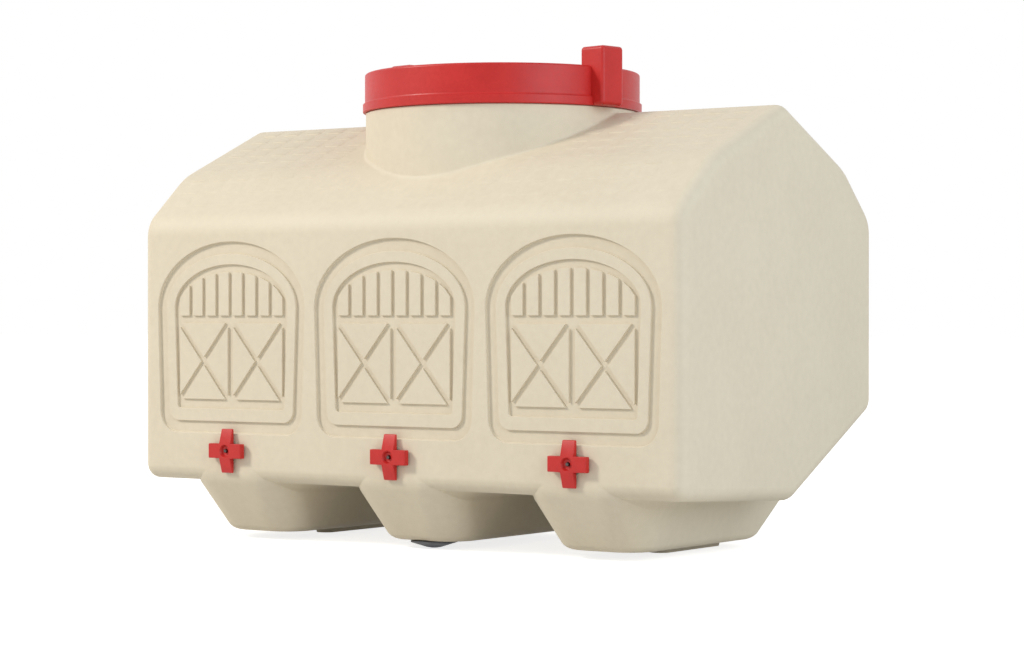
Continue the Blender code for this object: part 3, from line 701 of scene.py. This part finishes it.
neck = {
    "radius": 120.9 * mm,
    "spoutRadius": 114.4 * mm,
    "wall": 4.6 * mm,
    "rootZ": 300.0 * mm,
    "filletRadius": 2.6 * mm,
    "filletSteps": 5,
    "mouthEdge": 1.0 * mm,
    "shoulderEdge": 0.5 * mm,
    "sink": 14.0 * mm,
    "steps": 144,
    "turn": 0.6,
}
shoulderZ = lidLow.z - 0.3 * mm
spoutTopZ = gasketLow.z - 0.3 * mm


# The neck stands on the roof with a small fillet that follows the slope all the way round.
def neckShape():
    bm = bmesh.new()
    radius = neck["radius"]
    fillet = neck["filletRadius"]

    # a ring that either follows the roof, so far above it, or is level
    def ringAt(r, rise=0.0, z=None):
        points = []
        for step in range(neck["steps"]):
            angle = 2 * math.pi * step / neck["steps"] + math.radians(neck["turn"])
            height = roofHeight(r * math.sin(angle)) + rise if z is None else z
            points.append((r * math.cos(angle), r * math.sin(angle), height))
        return points

    rings = [ringAt(radius, z=neck["rootZ"])]
    sunk = radius + fillet + 1.0 * mm
    rings.append(ringAt(sunk, rise=-neck["sink"]))
    rings.append(ringAt(sunk, rise=-0.25 * mm))
    for step in range(neck["filletSteps"], -1, -1):
        angle = math.pi / 2 * step / neck["filletSteps"]
        r = radius + fillet * (1 - math.cos(angle))
        rise = fillet * (1 - math.sin(angle))
        rings.append(ringAt(r, rise=rise))
    rings.append(ringAt(radius, z=shoulderZ - neck["shoulderEdge"]))
    rings.append(ringAt(radius - neck["shoulderEdge"], z=shoulderZ))
    rings.append(ringAt(neck["spoutRadius"], z=shoulderZ))
    rings.append(ringAt(neck["spoutRadius"], z=spoutTopZ - neck["mouthEdge"]))
    rings.append(ringAt(neck["spoutRadius"] - neck["mouthEdge"], z=spoutTopZ))
    loft(bm, rings)
    return addPiece("neck_outside", bm)


def neckBore():
    mouth = neck["spoutRadius"] - neck["wall"]
    throat = neck["radius"] - barn["wall"]
    throatZ = shoulderZ - barn["wall"]
    clearZ = spoutTopZ + 5.0 * mm
    profile = [
        (0.0, clearZ),
        (mouth, clearZ),
        (mouth, throatZ),
        (throat, throatZ),
        (throat, neck["rootZ"]),
        (0.0, neck["rootZ"]),
    ]
    return turnedPiece("neck_bore", profile, neck["steps"], startAngle=1.9)


thread = {
    "starts": 3,
    "lead": 24.0 * mm,
    "land": 3.4 * mm,
    "crest": 2.0 * mm,
    "sink": 1.2 * mm,
    "spoutHeight": 2.9 * mm,
    "lidHeight": 2.8 * mm,
    "spoutRise": 16.0 * mm,
    "spoutSweep": 105.0,
    "spoutStart": 5.625,
    "lidLag": 30.0,
    "lidSweep": 60.0,
    "offset": 2.8 * mm,
    "step": 3.75,
}


# Raised ribs that climb round a wall. A negative height makes them point inwards.
def threadRibs(name, baseRadius, height, middleZ, sweep, startAngle):
    bm = bmesh.new()
    steps = round(sweep / thread["step"])
    climb = thread["lead"] * sweep / 360
    sunk = baseRadius - math.copysign(thread["sink"], height)
    section = [
        (sunk, -thread["land"] / 2),
        (baseRadius + height, -thread["crest"] / 2),
        (baseRadius + height, thread["crest"] / 2),
        (sunk, thread["land"] / 2),
    ]
    for start in range(thread["starts"]):
        turn = Matrix.Rotation(math.radians(startAngle + 360 / thread["starts"] * start), 4, "Z")
        corners = [bm.verts.new(turn @ Vector((r, 0.0, middleZ + z))) for r, z in section]
        face = bm.faces.new(corners)
        spinRound(bm, [face] + list(face.edges) + corners, math.radians(sweep), steps, climb / steps)
    return addPiece(name, bm)


door = {
    "recess": 3.0 * mm,
    "springZ": 205.6 * mm,
    "taper": 3.5 * mm,
    "pocketHalf": 85.0 * mm,
    "pocketBottomZ": 95.2 * mm,
    "pocketRise": 58.0 * mm,
    "pocketCorner": 19.0 * mm,
    "rimRadius": 0.6 * mm,
    "floorRadius": 0.6 * mm,
    "frameHalf": 75.0 * mm,
    "frameRise": 47.5 * mm,
    "frameBottomZ": 105.5 * mm,
    "frameCorner": 11.0 * mm,
    "frameInnerHalf": 65.4 * mm,
    "frameInnerRise": 38.0 * mm,
    "frameInnerBottomZ": 116.8 * mm,
    "frameInnerCorner": 3.0 * mm,
    "frameRelief": 2.5 * mm,
    "frameEdge": 0.5 * mm,
    "plankCount": 8,
    "plankPitch": 15.4 * mm,
    "plankGap": 4.0 * mm,
    "plankBottomZ": 198.6 * mm,
    "plankMargin": 6.6 * mm,
    "braceHalf": 28.2 * mm,
    "braceX": 31.2 * mm,
    "braceBottomZ": 124.8 * mm,
    "braceTopZ": 192.0 * mm,
    "braceGroove": 4.6 * mm,
    "panelRelief": 2.3 * mm,
    "panelEdge": 0.45 * mm,
    "sink": 1.2 * mm,
    "overlap": 0.02 * mm,
    "archSteps": 40,
    "cornerSteps": 10,
}


# An upright door outline: rounded bottom corners, sides that lean in a little, and an arch.
def archOutline(halfX, bottomZ, rise, cornerRadius):
    lowerHalf = halfX - door["taper"]
    base = roundedOutline(
        [
            (-halfX, door["springZ"], 0.0),
            (-lowerHalf, bottomZ, cornerRadius),
            (lowerHalf, bottomZ, cornerRadius),
            (halfX, door["springZ"], 0.0),
        ],
        door["cornerSteps"],
    )
    arch = []
    for step in range(1, door["archSteps"]):
        angle = math.pi * step / door["archSteps"]
        arch.append(Vector((halfX * math.cos(angle), door["springZ"] + rise * math.sin(angle))))
    return base + arch


# Outlines of a pocket, frame or frameInner, each as (how much it grows, where it lies).
def archRings(part, levels, centreX):
    rings = []
    for grow, y in levels:
        outline = archOutline(
            door[part + "Half"] + grow,
            door[part + "BottomZ"] - grow,
            door[part + "Rise"] + grow,
            door[part + "Corner"] + grow,
        )
        rings.append([(centreX + point.x, y, point.y) for point in outline])
    return rings


# The pocket that each door lies in, with a rounded rim and a rounded corner at its floor.
def doorRecesses():
    bm = bmesh.new()
    rim = door["rimRadius"]
    floor = door["floorRadius"]
    levels = [(rim, -door["sink"])]
    levels += [(rim - along, across - door["overlap"]) for along, across in quarter(rim, 4)]
    levels += [(-across, door["recess"] - floor + along) for along, across in quarter(floor, 3)]
    levels = [(grow, frontY + depth) for grow, depth in levels]
    for centreX in stations.values():
        loft(bm, archRings("pocket", levels, centreX))
    return addPiece("door_recesses", bm)


# The frame is a raised door shape with a smaller one cut out of it.
def doorFrames():
    floorY = frontY + door["recess"]
    relief = door["frameRelief"]
    edge = door["frameEdge"]
    outside = [(0.0, door["sink"])]
    outside += [(-across, edge - relief - along) for along, across in quarter(edge, 3)]
    inside = [(edge, -relief - door["sink"])]
    inside += [(edge - along, across - relief - door["overlap"]) for along, across in quarter(edge, 3)]
    inside += [(0.0, 2 * door["sink"])]
    boards = bmesh.new()
    openings = bmesh.new()
    for centreX in stations.values():
        loft(boards, archRings("frame", [(grow, floorY + depth) for grow, depth in outside], centreX))
        loft(openings, archRings("frameInner", [(grow, floorY + depth) for grow, depth in inside], centreX))
    frames = addPiece("door_frames", boards)
    cutOut(frames, addPiece("frame_openings", openings))
    return frames


# One raised board of a door, with its upright corners and its front edges softened.
def doorBoard(bm, outline, centreX):
    floorY = frontY + door["recess"]
    points = [(centreX + x, floorY + door["sink"], z) for x, z in outline]
    raised = set(drawOut(bm, points, (0.0, -door["sink"] - door["panelRelief"], 0.0))[1])
    edges = [edge for edge in bm.edges if edge.verts[0] in raised or edge.verts[1] in raised]
    soften(bm, edges, door["panelEdge"], 2)


def plankOutlines():
    outlines = []
    halfPlank = (door["plankPitch"] - door["plankGap"]) / 2
    archHalf = door["frameInnerHalf"] - door["plankMargin"] / 2
    archRise = door["frameInnerRise"] - door["plankMargin"]

    def archZ(x):
        return door["springZ"] + archRise * math.sqrt(max(1 - (x / archHalf) ** 2, 0.0))

    for index in range(door["plankCount"]):
        centre = (index - (door["plankCount"] - 1) / 2) * door["plankPitch"]
        left = centre - halfPlank
        right = centre + halfPlank
        top = [(x, archZ(x)) for x in (right, centre, left)]
        outlines.append([(left, door["plankBottomZ"]), (right, door["plankBottomZ"])] + top)
    return outlines


# Two crossed panels side by side; each is four triangles with a groove along both diagonals.
def braceOutlines():
    outlines = []
    halfX = door["braceHalf"]
    halfZ = (door["braceTopZ"] - door["braceBottomZ"]) / 2
    middleZ = (door["braceTopZ"] + door["braceBottomZ"]) / 2
    diagonal = math.hypot(halfX, halfZ)
    uprightGap = door["braceGroove"] / 2 * diagonal / halfX
    levelGap = door["braceGroove"] / 2 * diagonal / halfZ
    reachX = halfX * (halfZ - uprightGap) / halfZ
    reachZ = halfZ * (halfX - levelGap) / halfX
    for centre in (-door["braceX"], door["braceX"]):
        for way in (-1, 1):
            endZ = middleZ + way * halfZ
            endX = centre + way * halfX
            tipZ = middleZ + way * uprightGap
            tipX = centre + way * levelGap
            outlines.append([(centre, tipZ), (centre + reachX, endZ), (centre - reachX, endZ)])
            outlines.append([(tipX, middleZ), (endX, middleZ + reachZ), (endX, middleZ - reachZ)])
    return outlines


def doorBoards():
    bm = bmesh.new()
    for centreX in stations.values():
        for outline in plankOutlines() + braceOutlines():
            doorBoard(bm, outline, centreX)
    return addPiece("door_boards", bm)


hole = {
    "stemRadius": 7.5 * mm,
    "drainRadius": 9.3 * mm,
    "drainX": (bungLow.x + bungHigh.x) / 2,
    "drainY": (bungLow.y + bungHigh.y) / 2,
    "steps": 40,
}


def makeTank():
    tank = barnBlock("tank_shell", 0.0, barn["arcSteps"], barn["endSteps"])
    weldOn(tank, lobesOutside())
    weldOn(tank, neckShape())
    weldOn(tank, threadRibs("spout_thread", neck["spoutRadius"], thread["spoutHeight"],
                            shoulderZ + thread["spoutRise"], thread["spoutSweep"], thread["spoutStart"]))
    cutOut(tank, barnBlock("cavity", barn["wall"], barn["insideArcSteps"], barn["insideEndSteps"]))
    cutOut(tank, lobesInside())
    weldOn(tank, footPads())
    cutOut(tank, neckBore())
    reach = 2 * barn["wall"]
    for name, centreX in stations.items():
        drill = upright("stem_hole_" + name, hole["stemRadius"], -reach, reach, hole["steps"])
        drill.data.transform(Matrix.Rotation(math.pi / 2, 4, "X"))
        drill.data.transform(Matrix.Translation((centreX, frontY, drinkerZ)))
        cutOut(tank, drill)
    drain = upright("drain_hole", hole["drainRadius"], 0.0, lobe["bottomZ"] + reach, hole["steps"],
                    hole["drainX"], hole["drainY"] - middleY)
    cutOut(tank, drain)
    # the doors' small faces come last, because a later Boolean can tear them
    cutOut(tank, doorRecesses())
    weldOn(tank, doorFrames())
    weldOn(tank, doorBoards())
    tank.data.transform(Matrix.Translation((0.0, middleY, 0.0)))
    dress(tank, sandPlastic)
    smoothOver(tank)
    return tank


tankShell = makeTank()
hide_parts("tank_body")
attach(tankShell, "tank")
print("tank shell:", len(tankShell.data.polygons), "faces")


shingle = {
    "columns": 21,
    "columnPitch": 25.6 * mm,
    "rows": 9,
    "rowPitch": 17.9 * mm,
    "firstRow": 13.0 * mm,
    "length": 18.0 * mm,
    "width": 13.0 * mm,
    "height": 1.5 * mm,
    "middleHeight": 0.55,
    "lean": 0.45,
    "sink": 1.2 * mm,
    "cornerRadius": 2.6 * mm,
    "sideSlope": 3.0 * mm,
    "noseSlope": 1.6 * mm,
    "fade": 0.65,
    "settle": 0.3 * mm,
    "neckGap": 12.0 * mm,
}


# One low wedge, thickest at its lower edge, which is at -y.
def shingleShape(bm):
    halfLength = shingle["length"] / 2
    nose = shingle["noseSlope"]
    half = shingle["width"] / 2
    outline = roundedRectangle(halfLength, -half, half, shingle["cornerRadius"], 3)
    crest = []
    for point in outline:
        across = point.x * (1 - shingle["sideSlope"] / halfLength)
        along = nose - half + (point.y + half) * (1 - nose / shingle["width"])
        share = shingle["middleHeight"] - shingle["lean"] * along / half
        crest.append((across, along, shingle["height"] * share))
    rings = [[(point.x, point.y, height) for point in outline] for height in (-shingle["sink"], 0.04 * mm)]
    loft(bm, rings + [crest])


def makeShingles():
    bm = bmesh.new()
    shingleShape(bm)
    first = bm.verts[:] + bm.edges[:] + bm.faces[:]
    for row in range(shingle["rows"]):
        y, z, tilt = onSlope(shingle["firstRow"] + row * shingle["rowPitch"])
        if upperTilt < tilt < lowerTilt:
            z -= shingle["settle"]  # a flat shingle would stand off the bend
        lower = Matrix.Diagonal((1.0, 1.0, 1.0 - shingle["fade"] * row / (shingle["rows"] - 1), 1.0))
        for column in range(shingle["columns"]):
            x = (column - (shingle["columns"] - 1) / 2) * shingle["columnPitch"]
            if math.hypot(x, y) < neck["radius"] + neck["filletRadius"] + shingle["neckGap"]:
                continue
            for side in (-1, 1):
                place = Matrix.Translation((x, middleY + side * y, z)) @ Matrix.Rotation(-side * tilt, 4, "X")
                if side > 0:
                    place = place @ Matrix.Rotation(math.pi, 4, "Z")
                copied = bmesh.ops.duplicate(bm, geom=first)["geom"]
                bmesh.ops.transform(bm, matrix=place @ lower, verts=vertsOf(copied))
    bmesh.ops.delete(bm, geom=vertsOf(first), context="VERTS")
    return addPiece("roof_shingles", bm, sandPlastic)


roofShingles = makeShingles()
smoothOver(roofShingles, 50.0)
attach(roofShingles, "tank")
print("roof shingles:", len(roofShingles.data.polygons), "faces")


lid = {
    "height": 34.3 * mm,
    "radius": 121.8 * mm,
    "beadRadius": 123.6 * mm,
    "beadHeight": 7.4 * mm,
    "beadEdge": 0.9 * mm,
    "beadCove": 2.4 * mm,
    "topWall": 3.2 * mm,
    "skirtWall": 3.7 * mm,
    "edgeRadius": 2.2 * mm,
    "boreEdge": 0.6 * mm,
    "ventRadius": 2.0 * mm,
    "ventX": 60.0 * mm,
    "ventSteps": 32,
    "steps": 160,
    "lugAngle": -10.0,
    "lugThickness": 26.0 * mm,
    "lugInner": 108.0 * mm,
    "lugOuter": 135.0 * mm,
    "lugEdge": 3.2 * mm,
    "lugDrop": 2.0 * mm,
}
lidTopZ = lidLow.z + lid["height"]
lugTopZ = lidHigh.z - lid["lugDrop"]


def lidShell():
    edge = lid["edgeRadius"]
    cove = lid["beadCove"]
    beadTop = lidLow.z + lid["beadHeight"]
    step = lid["beadRadius"] - lid["radius"]
    profile = [(0.0, lidTopZ)]
    profile += [(lid["radius"] - edge + along, lidTopZ - across) for along, across in quarter(edge, 6)]
    profile.append((lid["radius"], beadTop + cove))
    for along, across in quarter(cove, 4)[1:]:
        profile.append((lid["radius"] + across * step / cove, beadTop + cove - along))
    profile.append((lid["beadRadius"], beadTop - lid["beadEdge"]))
    profile += [(lid["beadRadius"] - across, lidLow.z + lid["beadEdge"] - along)
                for along, across in quarter(lid["beadEdge"], 3)]
    bore = lid["radius"] - lid["skirtWall"]
    profile += [
        (bore + lid["boreEdge"], lidLow.z),
        (bore, lidLow.z + lid["boreEdge"]),
        (bore, lidTopZ - lid["topWall"]),
        (0.0, lidTopZ - lid["topWall"]),
    ]
    return turnedPiece("lid_shell", profile, lid["steps"], startAngle=0.7)


# Two grip blocks that hug the skirt and hook over the rim.
def lidLugs():
    bm = bmesh.new()
    insideR = lid["radius"] - lid["skirtWall"] / 2
    insideZ = lidTopZ - lid["topWall"] / 2
    outline = [
        (lid["lugOuter"], lidLow.z),
        (lid["lugOuter"], lugTopZ),
        (lid["lugInner"], lugTopZ),
        (lid["lugInner"], insideZ),
        (insideR, insideZ),
        (insideR, lidLow.z),
    ]
    for angle in (lid["lugAngle"], lid["lugAngle"] + 180):
        points = [(r, -lid["lugThickness"] / 2, z) for r, z in outline]
        corners, moved = drawOut(bm, points, (0.0, lid["lugThickness"], 0.0))
        verts = set(corners) | set(moved)
        hidden = {vert for vert in verts if vert.co.z < lidTopZ and vert.co.x < lid["lugOuter"] - mm}
        edges = [edge for edge in bm.edges if edge.verts[0] in verts]
        shown = [edge for edge in edges if not (edge.verts[0] in hidden and edge.verts[1] in hidden)]
        before = set(bm.verts) - verts
        soften(bm, shown, lid["lugEdge"], 4)
        block = [vert for vert in bm.verts if vert not in before]
        turn = Matrix.Rotation(math.radians(angle), 3, "Z")
        bmesh.ops.rotate(bm, cent=(0.0, 0.0, 0.0), matrix=turn, verts=block)
    return addPiece("lid_lugs", bm)


def makeLid():
    cap = lidShell()
    cap.name = "lid_cap"
    weldOn(cap, lidLugs())
    bore = lid["radius"] - lid["skirtWall"]
    threadZ = shoulderZ + thread["spoutRise"] + thread["lead"] * thread["lidLag"] / 360 - thread["offset"]
    weldOn(cap, threadRibs("lid_thread", bore, -thread["lidHeight"], threadZ,
                           thread["lidSweep"], thread["spoutStart"] + thread["lidLag"]))
    ventLowZ = lidTopZ - 2 * lid["topWall"]
    cutOut(cap, upright("vent", lid["ventRadius"], ventLowZ, lidTopZ + mm, lid["ventSteps"], lid["ventX"]))
    cap.data.transform(Matrix.Translation((0.0, middleY, 0.0)))
    dress(cap, redPlastic)
    smoothOver(cap, 40.0)
    return cap


lidCap = makeLid()
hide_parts("screw_lid")
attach(lidCap, "lid")
print("lid:", len(lidCap.data.polygons), "faces")


cross = {
    "width": 37.0 * mm,
    "height": 38.6 * mm,
    "arm": 12.8 * mm,
    "back": 2.0 * mm,
    "thickness": 5.3 * mm,
    "edgeRadius": 0.8 * mm,
    "endDrop": 3.8 * mm,
    "cupRadius": 5.2 * mm,
    "cupFloorRadius": 4.0 * mm,
    "cupDepth": 3.0 * mm,
    "stemRadius": 7.2 * mm,
    "stemLength": 16.5 * mm,
    "boreRadius": 1.9 * mm,
    "chamberRadius": 5.2 * mm,
    "chamberDepth": 13.2 * mm,
    "cut": 0.5 * mm,
    "steps": 40,
}


# Drawn flat with Z out of the wall. The upper and the lower arm slope back towards their ends.
def crossPlate(name):
    bm = bmesh.new()
    halfArm = cross["arm"] / 2
    halfX = cross["width"] / 2
    halfZ = cross["height"] / 2
    outline = [
        (halfArm, halfArm), (halfArm, halfZ), (-halfArm, halfZ), (-halfArm, halfArm),
        (-halfX, halfArm), (-halfX, -halfArm), (-halfArm, -halfArm), (-halfArm, -halfZ),
        (halfArm, -halfZ), (halfArm, -halfArm), (halfX, -halfArm), (halfX, halfArm),
    ]
    drawOut(bm, [(x, y, cross["back"]) for x, y in outline], (0.0, 0.0, cross["thickness"]))
    for level in (-halfArm, halfArm):
        splitAt(bm, level)
    front = cross["back"] + cross["thickness"]
    near = 0.01 * mm
    for vert in bm.verts:
        if vert.co.z > front - near and abs(vert.co.y) > halfZ - near:
            vert.co.z -= cross["endDrop"]
    rim = []
    for edge in bm.edges:
        onFront = min(vert.co.z for vert in edge.verts) > front - cross["endDrop"] - near
        if onFront and edge.calc_face_angle(0.0) > math.radians(45):
            rim.append(edge)
    standing = [edge for edge in bm.edges if edge.calc_face_angle_signed(0.0) > math.radians(60)
                and (edge.verts[0].co.xy - edge.verts[1].co.xy).length < near]
    soften(bm, rim + standing, cross["edgeRadius"], 3)
    for vert in bm.verts:
        vert.co.z = min(vert.co.z, front)
    return addPiece(name, bm)


def makeCross(name, centreX):
    front = cross["back"] + cross["thickness"]
    stemEnd = cross["back"] - cross["stemLength"]
    seatZ = stemEnd + cross["chamberDepth"]
    cupFloor = front - cross["cupDepth"]
    cut = cross["cut"]
    plate = crossPlate("cross_" + name)
    weldOn(plate, turnedPiece("stem", [
        (0.0, cross["back"] + 0.3 * mm),
        (cross["stemRadius"], cross["back"] + 0.3 * mm),
        (cross["stemRadius"], stemEnd + cut),
        (cross["stemRadius"] - cut, stemEnd),
        (0.0, stemEnd),
    ], cross["steps"], startAngle=2.0))
    cutOut(plate, turnedPiece("passage", [
        (0.0, front + cut),
        (cross["cupRadius"] + 1.1 * mm, front + cut),
        (cross["cupRadius"] + 0.35 * mm, front - 0.1 * mm),
        (cross["cupRadius"], front - cut),
        (cross["cupFloorRadius"] + 0.2 * mm, cupFloor + 0.3 * mm),
        (cross["cupFloorRadius"] - 0.3 * mm, cupFloor),
        (cross["boreRadius"], cupFloor),
        (cross["boreRadius"], seatZ),
        (cross["chamberRadius"], seatZ),
        (cross["chamberRadius"], stemEnd - cut),
        (0.0, stemEnd - cut),
    ], cross["steps"], startAngle=5.0))
    plate.data.transform(Matrix.Rotation(math.pi / 2, 4, "X"))
    plate.data.transform(Matrix.Translation((centreX, frontY + middleY, drinkerZ)))
    dress(plate, redPlastic)
    smoothOver(plate, 40.0)
    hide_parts("drinker_body_" + name)
    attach(plate, "tank")


for name, centreX in stations.items():
    makeCross(name, centreX)
print("three crosses ready")


bung = {
    "headRadius": 20.0 * mm,
    "tipRadius": 4.4 * mm,
    "tipRound": 1.6 * mm,
    "headTopZ": 6.9 * mm,
    "rim": 1.6 * mm,
    "stemRadius": 9.0 * mm,
    "groove": 0.5 * mm,
    "rib": 1.2 * mm,
    "rimCut": 0.4 * mm,
    "steps": 64,
}


def makeBung():
    stem = bung["stemRadius"]
    waist = stem - bung["groove"]
    rib = bung["rib"]
    topZ = bungHigh.z
    headZ = bung["headTopZ"]
    tipZ = bungLow.z
    run = (bung["headRadius"] - bung["tipRadius"]) / (headZ - bung["rim"] - tipZ)
    profile = [
        (0.0, topZ),
        (waist - 0.8 * mm, topZ),
        (waist, topZ - 0.6 * mm),
        (stem, topZ - rib),
        (stem, topZ - 2 * rib),
        (waist, topZ - 3 * rib),
        (waist, headZ + 3 * rib),
        (stem, headZ + 2 * rib),
        (stem, headZ),
        (bung["headRadius"] - bung["rimCut"], headZ),
        (bung["headRadius"], headZ - bung["rimCut"]),
        (bung["headRadius"], headZ - bung["rim"]),
        (bung["tipRadius"] + run * bung["tipRound"] * 0.5, tipZ + bung["tipRound"] * 0.5),
        (bung["tipRadius"] - 0.8 * mm, tipZ + 0.15 * mm),
        (bung["tipRadius"] - 2.4 * mm, tipZ),
        (0.0, tipZ),
    ]
    plug = turnedPiece("drain_plug", profile, bung["steps"])
    plug.data.transform(Matrix.Translation((hole["drainX"], hole["drainY"], 0.0)))
    dress(plug, greyRubber)
    smoothOver(plug, 30.0)
    return plug


drainPlug = makeBung()
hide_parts("drain_bung")
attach(drainPlug, "bung")
print("drain plug ready")


spring = {
    "wireRadius": 0.3 * mm,
    "turns": 4,
    "turnSteps": 28,
    "wireSteps": 10,
    "travel": 2.5 * mm,
}


# A coil of wire in place of the stiff one.
def makeSpring(place):
    low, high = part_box("drinker_spring_" + place)
    wire = spring["wireRadius"]
    centre = (low + high) / 2
    count = spring["turns"] * spring["turnSteps"]
    rings = []
    for step in range(count + 1):
        angle = 2 * math.pi * step / spring["turnSteps"]
        outward = Vector((math.cos(angle), 0.0, math.sin(angle)))
        spot = centre + outward * ((high.x - low.x) / 2 - wire)
        spot.y = low.y + wire + (high.y - low.y - 2 * wire) * step / count
        ring = []
        for side in range(spring["wireSteps"]):
            turn = 2 * math.pi * side / spring["wireSteps"]
            ring.append(spot + outward * wire * math.cos(turn) + Vector((0.0, wire * math.sin(turn), 0.0)))
        rings.append(ring)
    bm = bmesh.new()
    loft(bm, rings)
    coil = addPiece("coil_" + place, bm, steel)
    smoothOver(coil, 50.0)
    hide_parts("drinker_spring_" + place)
    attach(coil, "tank")
    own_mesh(coil)


for place in stations:
    makeSpring(place)
print("springs ready")


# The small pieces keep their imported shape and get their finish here.
finishes = {
    "lid_gasket": blackRubber,
    "drinker_washer": sandRubber,
    "drinker_seal": blackRubber,
    "drinker_nut": whitePlastic,
    "drinker_cap": whitePlastic,
    # the pins' dark steel is painted shade for the cup around them
    "drinker_pin": dullSteelPaintedShade,
}
for nodeName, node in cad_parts.items():
    for start, material in finishes.items():
        if nodeName.startswith(start):
            for materialSlot in node.material_slots:
                materialSlot.material = material
print("small pieces finished")


# The camera stands where the photograph was taken from.
view = {
    "place": (1.3524, -1.88745, 0.1970),
    "turn": 35.367,
    "tilt": -0.097,
    "lens": 92.09,
    "nearest": 0.05,
    "furthest": 100.0,
    "shift": (0.00033, -0.00248),
}
cameraData = bpy.data.cameras.new("photo_camera")
cameraData.sensor_width = 36.0
cameraData.lens = view["lens"]
cameraData.shift_x, cameraData.shift_y = view["shift"]
cameraData.clip_start = view["nearest"]
cameraData.clip_end = view["furthest"]
camera = bpy.data.objects.new("photo_camera", cameraData)
camera.location = view["place"]
camera.rotation_euler = (math.radians(90 + view["tilt"]), 0.0, math.radians(view["turn"]))
bpy.context.scene.collection.objects.link(camera)
bpy.context.scene.camera = camera


studio = {
    "keyPlace": (-2.0, -2.1, 2.0),
    "keySize": 0.7,
    "keyPower": 61.0,
    "keyColour": (1.0, 0.955, 0.89),
    "fillPlace": (2.6, -0.7, 1.1),
    "fillSize": 2.2,
    "fillPower": 33.0,
    "fillColour": (0.82, 0.91, 1.0),
    "roomColour": (0.97, 0.985, 1.0),
    "roomStrength": 0.55,
    "floorSize": 40.0,
    "floorColour": (0.70, 0.69, 0.665),
    "floorRoughness": 0.9,
    "floorGlow": 0.78,
    "aim": (0.0, 0.0, 0.2),
}


for use in ("key", "fill"):
    data = bpy.data.lights.new(use + "_lamp", "AREA")
    data.shape = "DISK"
    data.size = studio[use + "Size"]
    data.energy = studio[use + "Power"]
    data.color = studio[use + "Colour"]
    lamp = bpy.data.objects.new(use + "_lamp", data)
    lamp.location = studio[use + "Place"]
    aim = Vector(studio["aim"]) - Vector(studio[use + "Place"])
    lamp.rotation_euler = aim.to_track_quat("-Z", "Y").to_euler()
    bpy.context.scene.collection.objects.link(lamp)


# True for what the camera sees directly or in a gloss, so that plastic and metal show the same white.
def seenDirectly(nodes, links):
    path = nodes.new("ShaderNodeLightPath")
    seen = path.outputs["Is Camera Ray"]
    for kind in ("Is Glossy Ray", "Is Transmission Ray"):
        either = nodes.new("ShaderNodeMath")
        either.operation = "MAXIMUM"
        links.new(seen, either.inputs[0])
        links.new(path.outputs[kind], either.inputs[1])
        seen = either.outputs["Value"]
    return seen


def makeRoom():
    world = bpy.data.worlds.new("white_room")
    world.use_nodes = True
    bpy.context.scene.world = world
    nodes = world.node_tree.nodes
    links = world.node_tree.links
    ambient = nodes["Background"]
    ambient.inputs["Color"].default_value = (*studio["roomColour"], 1.0)
    ambient.inputs["Strength"].default_value = studio["roomStrength"]
    white = nodes.new("ShaderNodeBackground")
    white.inputs["Color"].default_value = (1.0, 1.0, 1.0, 1.0)
    white.inputs["Strength"].default_value = 1.0
    choice = nodes.new("ShaderNodeMixShader")
    links.new(seenDirectly(nodes, links), choice.inputs["Fac"])
    links.new(ambient.outputs["Background"], choice.inputs[1])
    links.new(white.outputs["Background"], choice.inputs[2])
    links.new(choice.outputs["Shader"], nodes["World Output"].inputs["Surface"])


def makeFloor():
    bm = bmesh.new()
    bmesh.ops.create_grid(bm, x_segments=1, y_segments=1, size=studio["floorSize"] / 2)
    floor = addPiece("studio_floor", bm)
    material = bpy.data.materials.new("studio_white")
    material.use_nodes = True
    nodes = material.node_tree.nodes
    links = material.node_tree.links
    paint = nodes["Principled BSDF"]
    paint.inputs["Base Color"].default_value = (*studio["floorColour"], 1.0)
    paint.inputs["Roughness"].default_value = studio["floorRoughness"]
    paint.inputs["Specular IOR Level"].default_value = 0.0
    glow = nodes.new("ShaderNodeEmission")
    glow.inputs["Strength"].default_value = studio["floorGlow"]
    lit = nodes.new("ShaderNodeAddShader")
    links.new(paint.outputs["BSDF"], lit.inputs[0])
    links.new(glow.outputs["Emission"], lit.inputs[1])
    choice = nodes.new("ShaderNodeMixShader")
    links.new(seenDirectly(nodes, links), choice.inputs["Fac"])
    links.new(paint.outputs["BSDF"], choice.inputs[1])
    links.new(lit.outputs["Shader"], choice.inputs[2])
    links.new(choice.outputs["Shader"], nodes["Material Output"].inputs["Surface"])
    floor.data.materials.append(material)


makeRoom()
makeFloor()
bpy.context.scene.view_settings.view_transform = "Standard"
print("camera, lamps and floor ready")
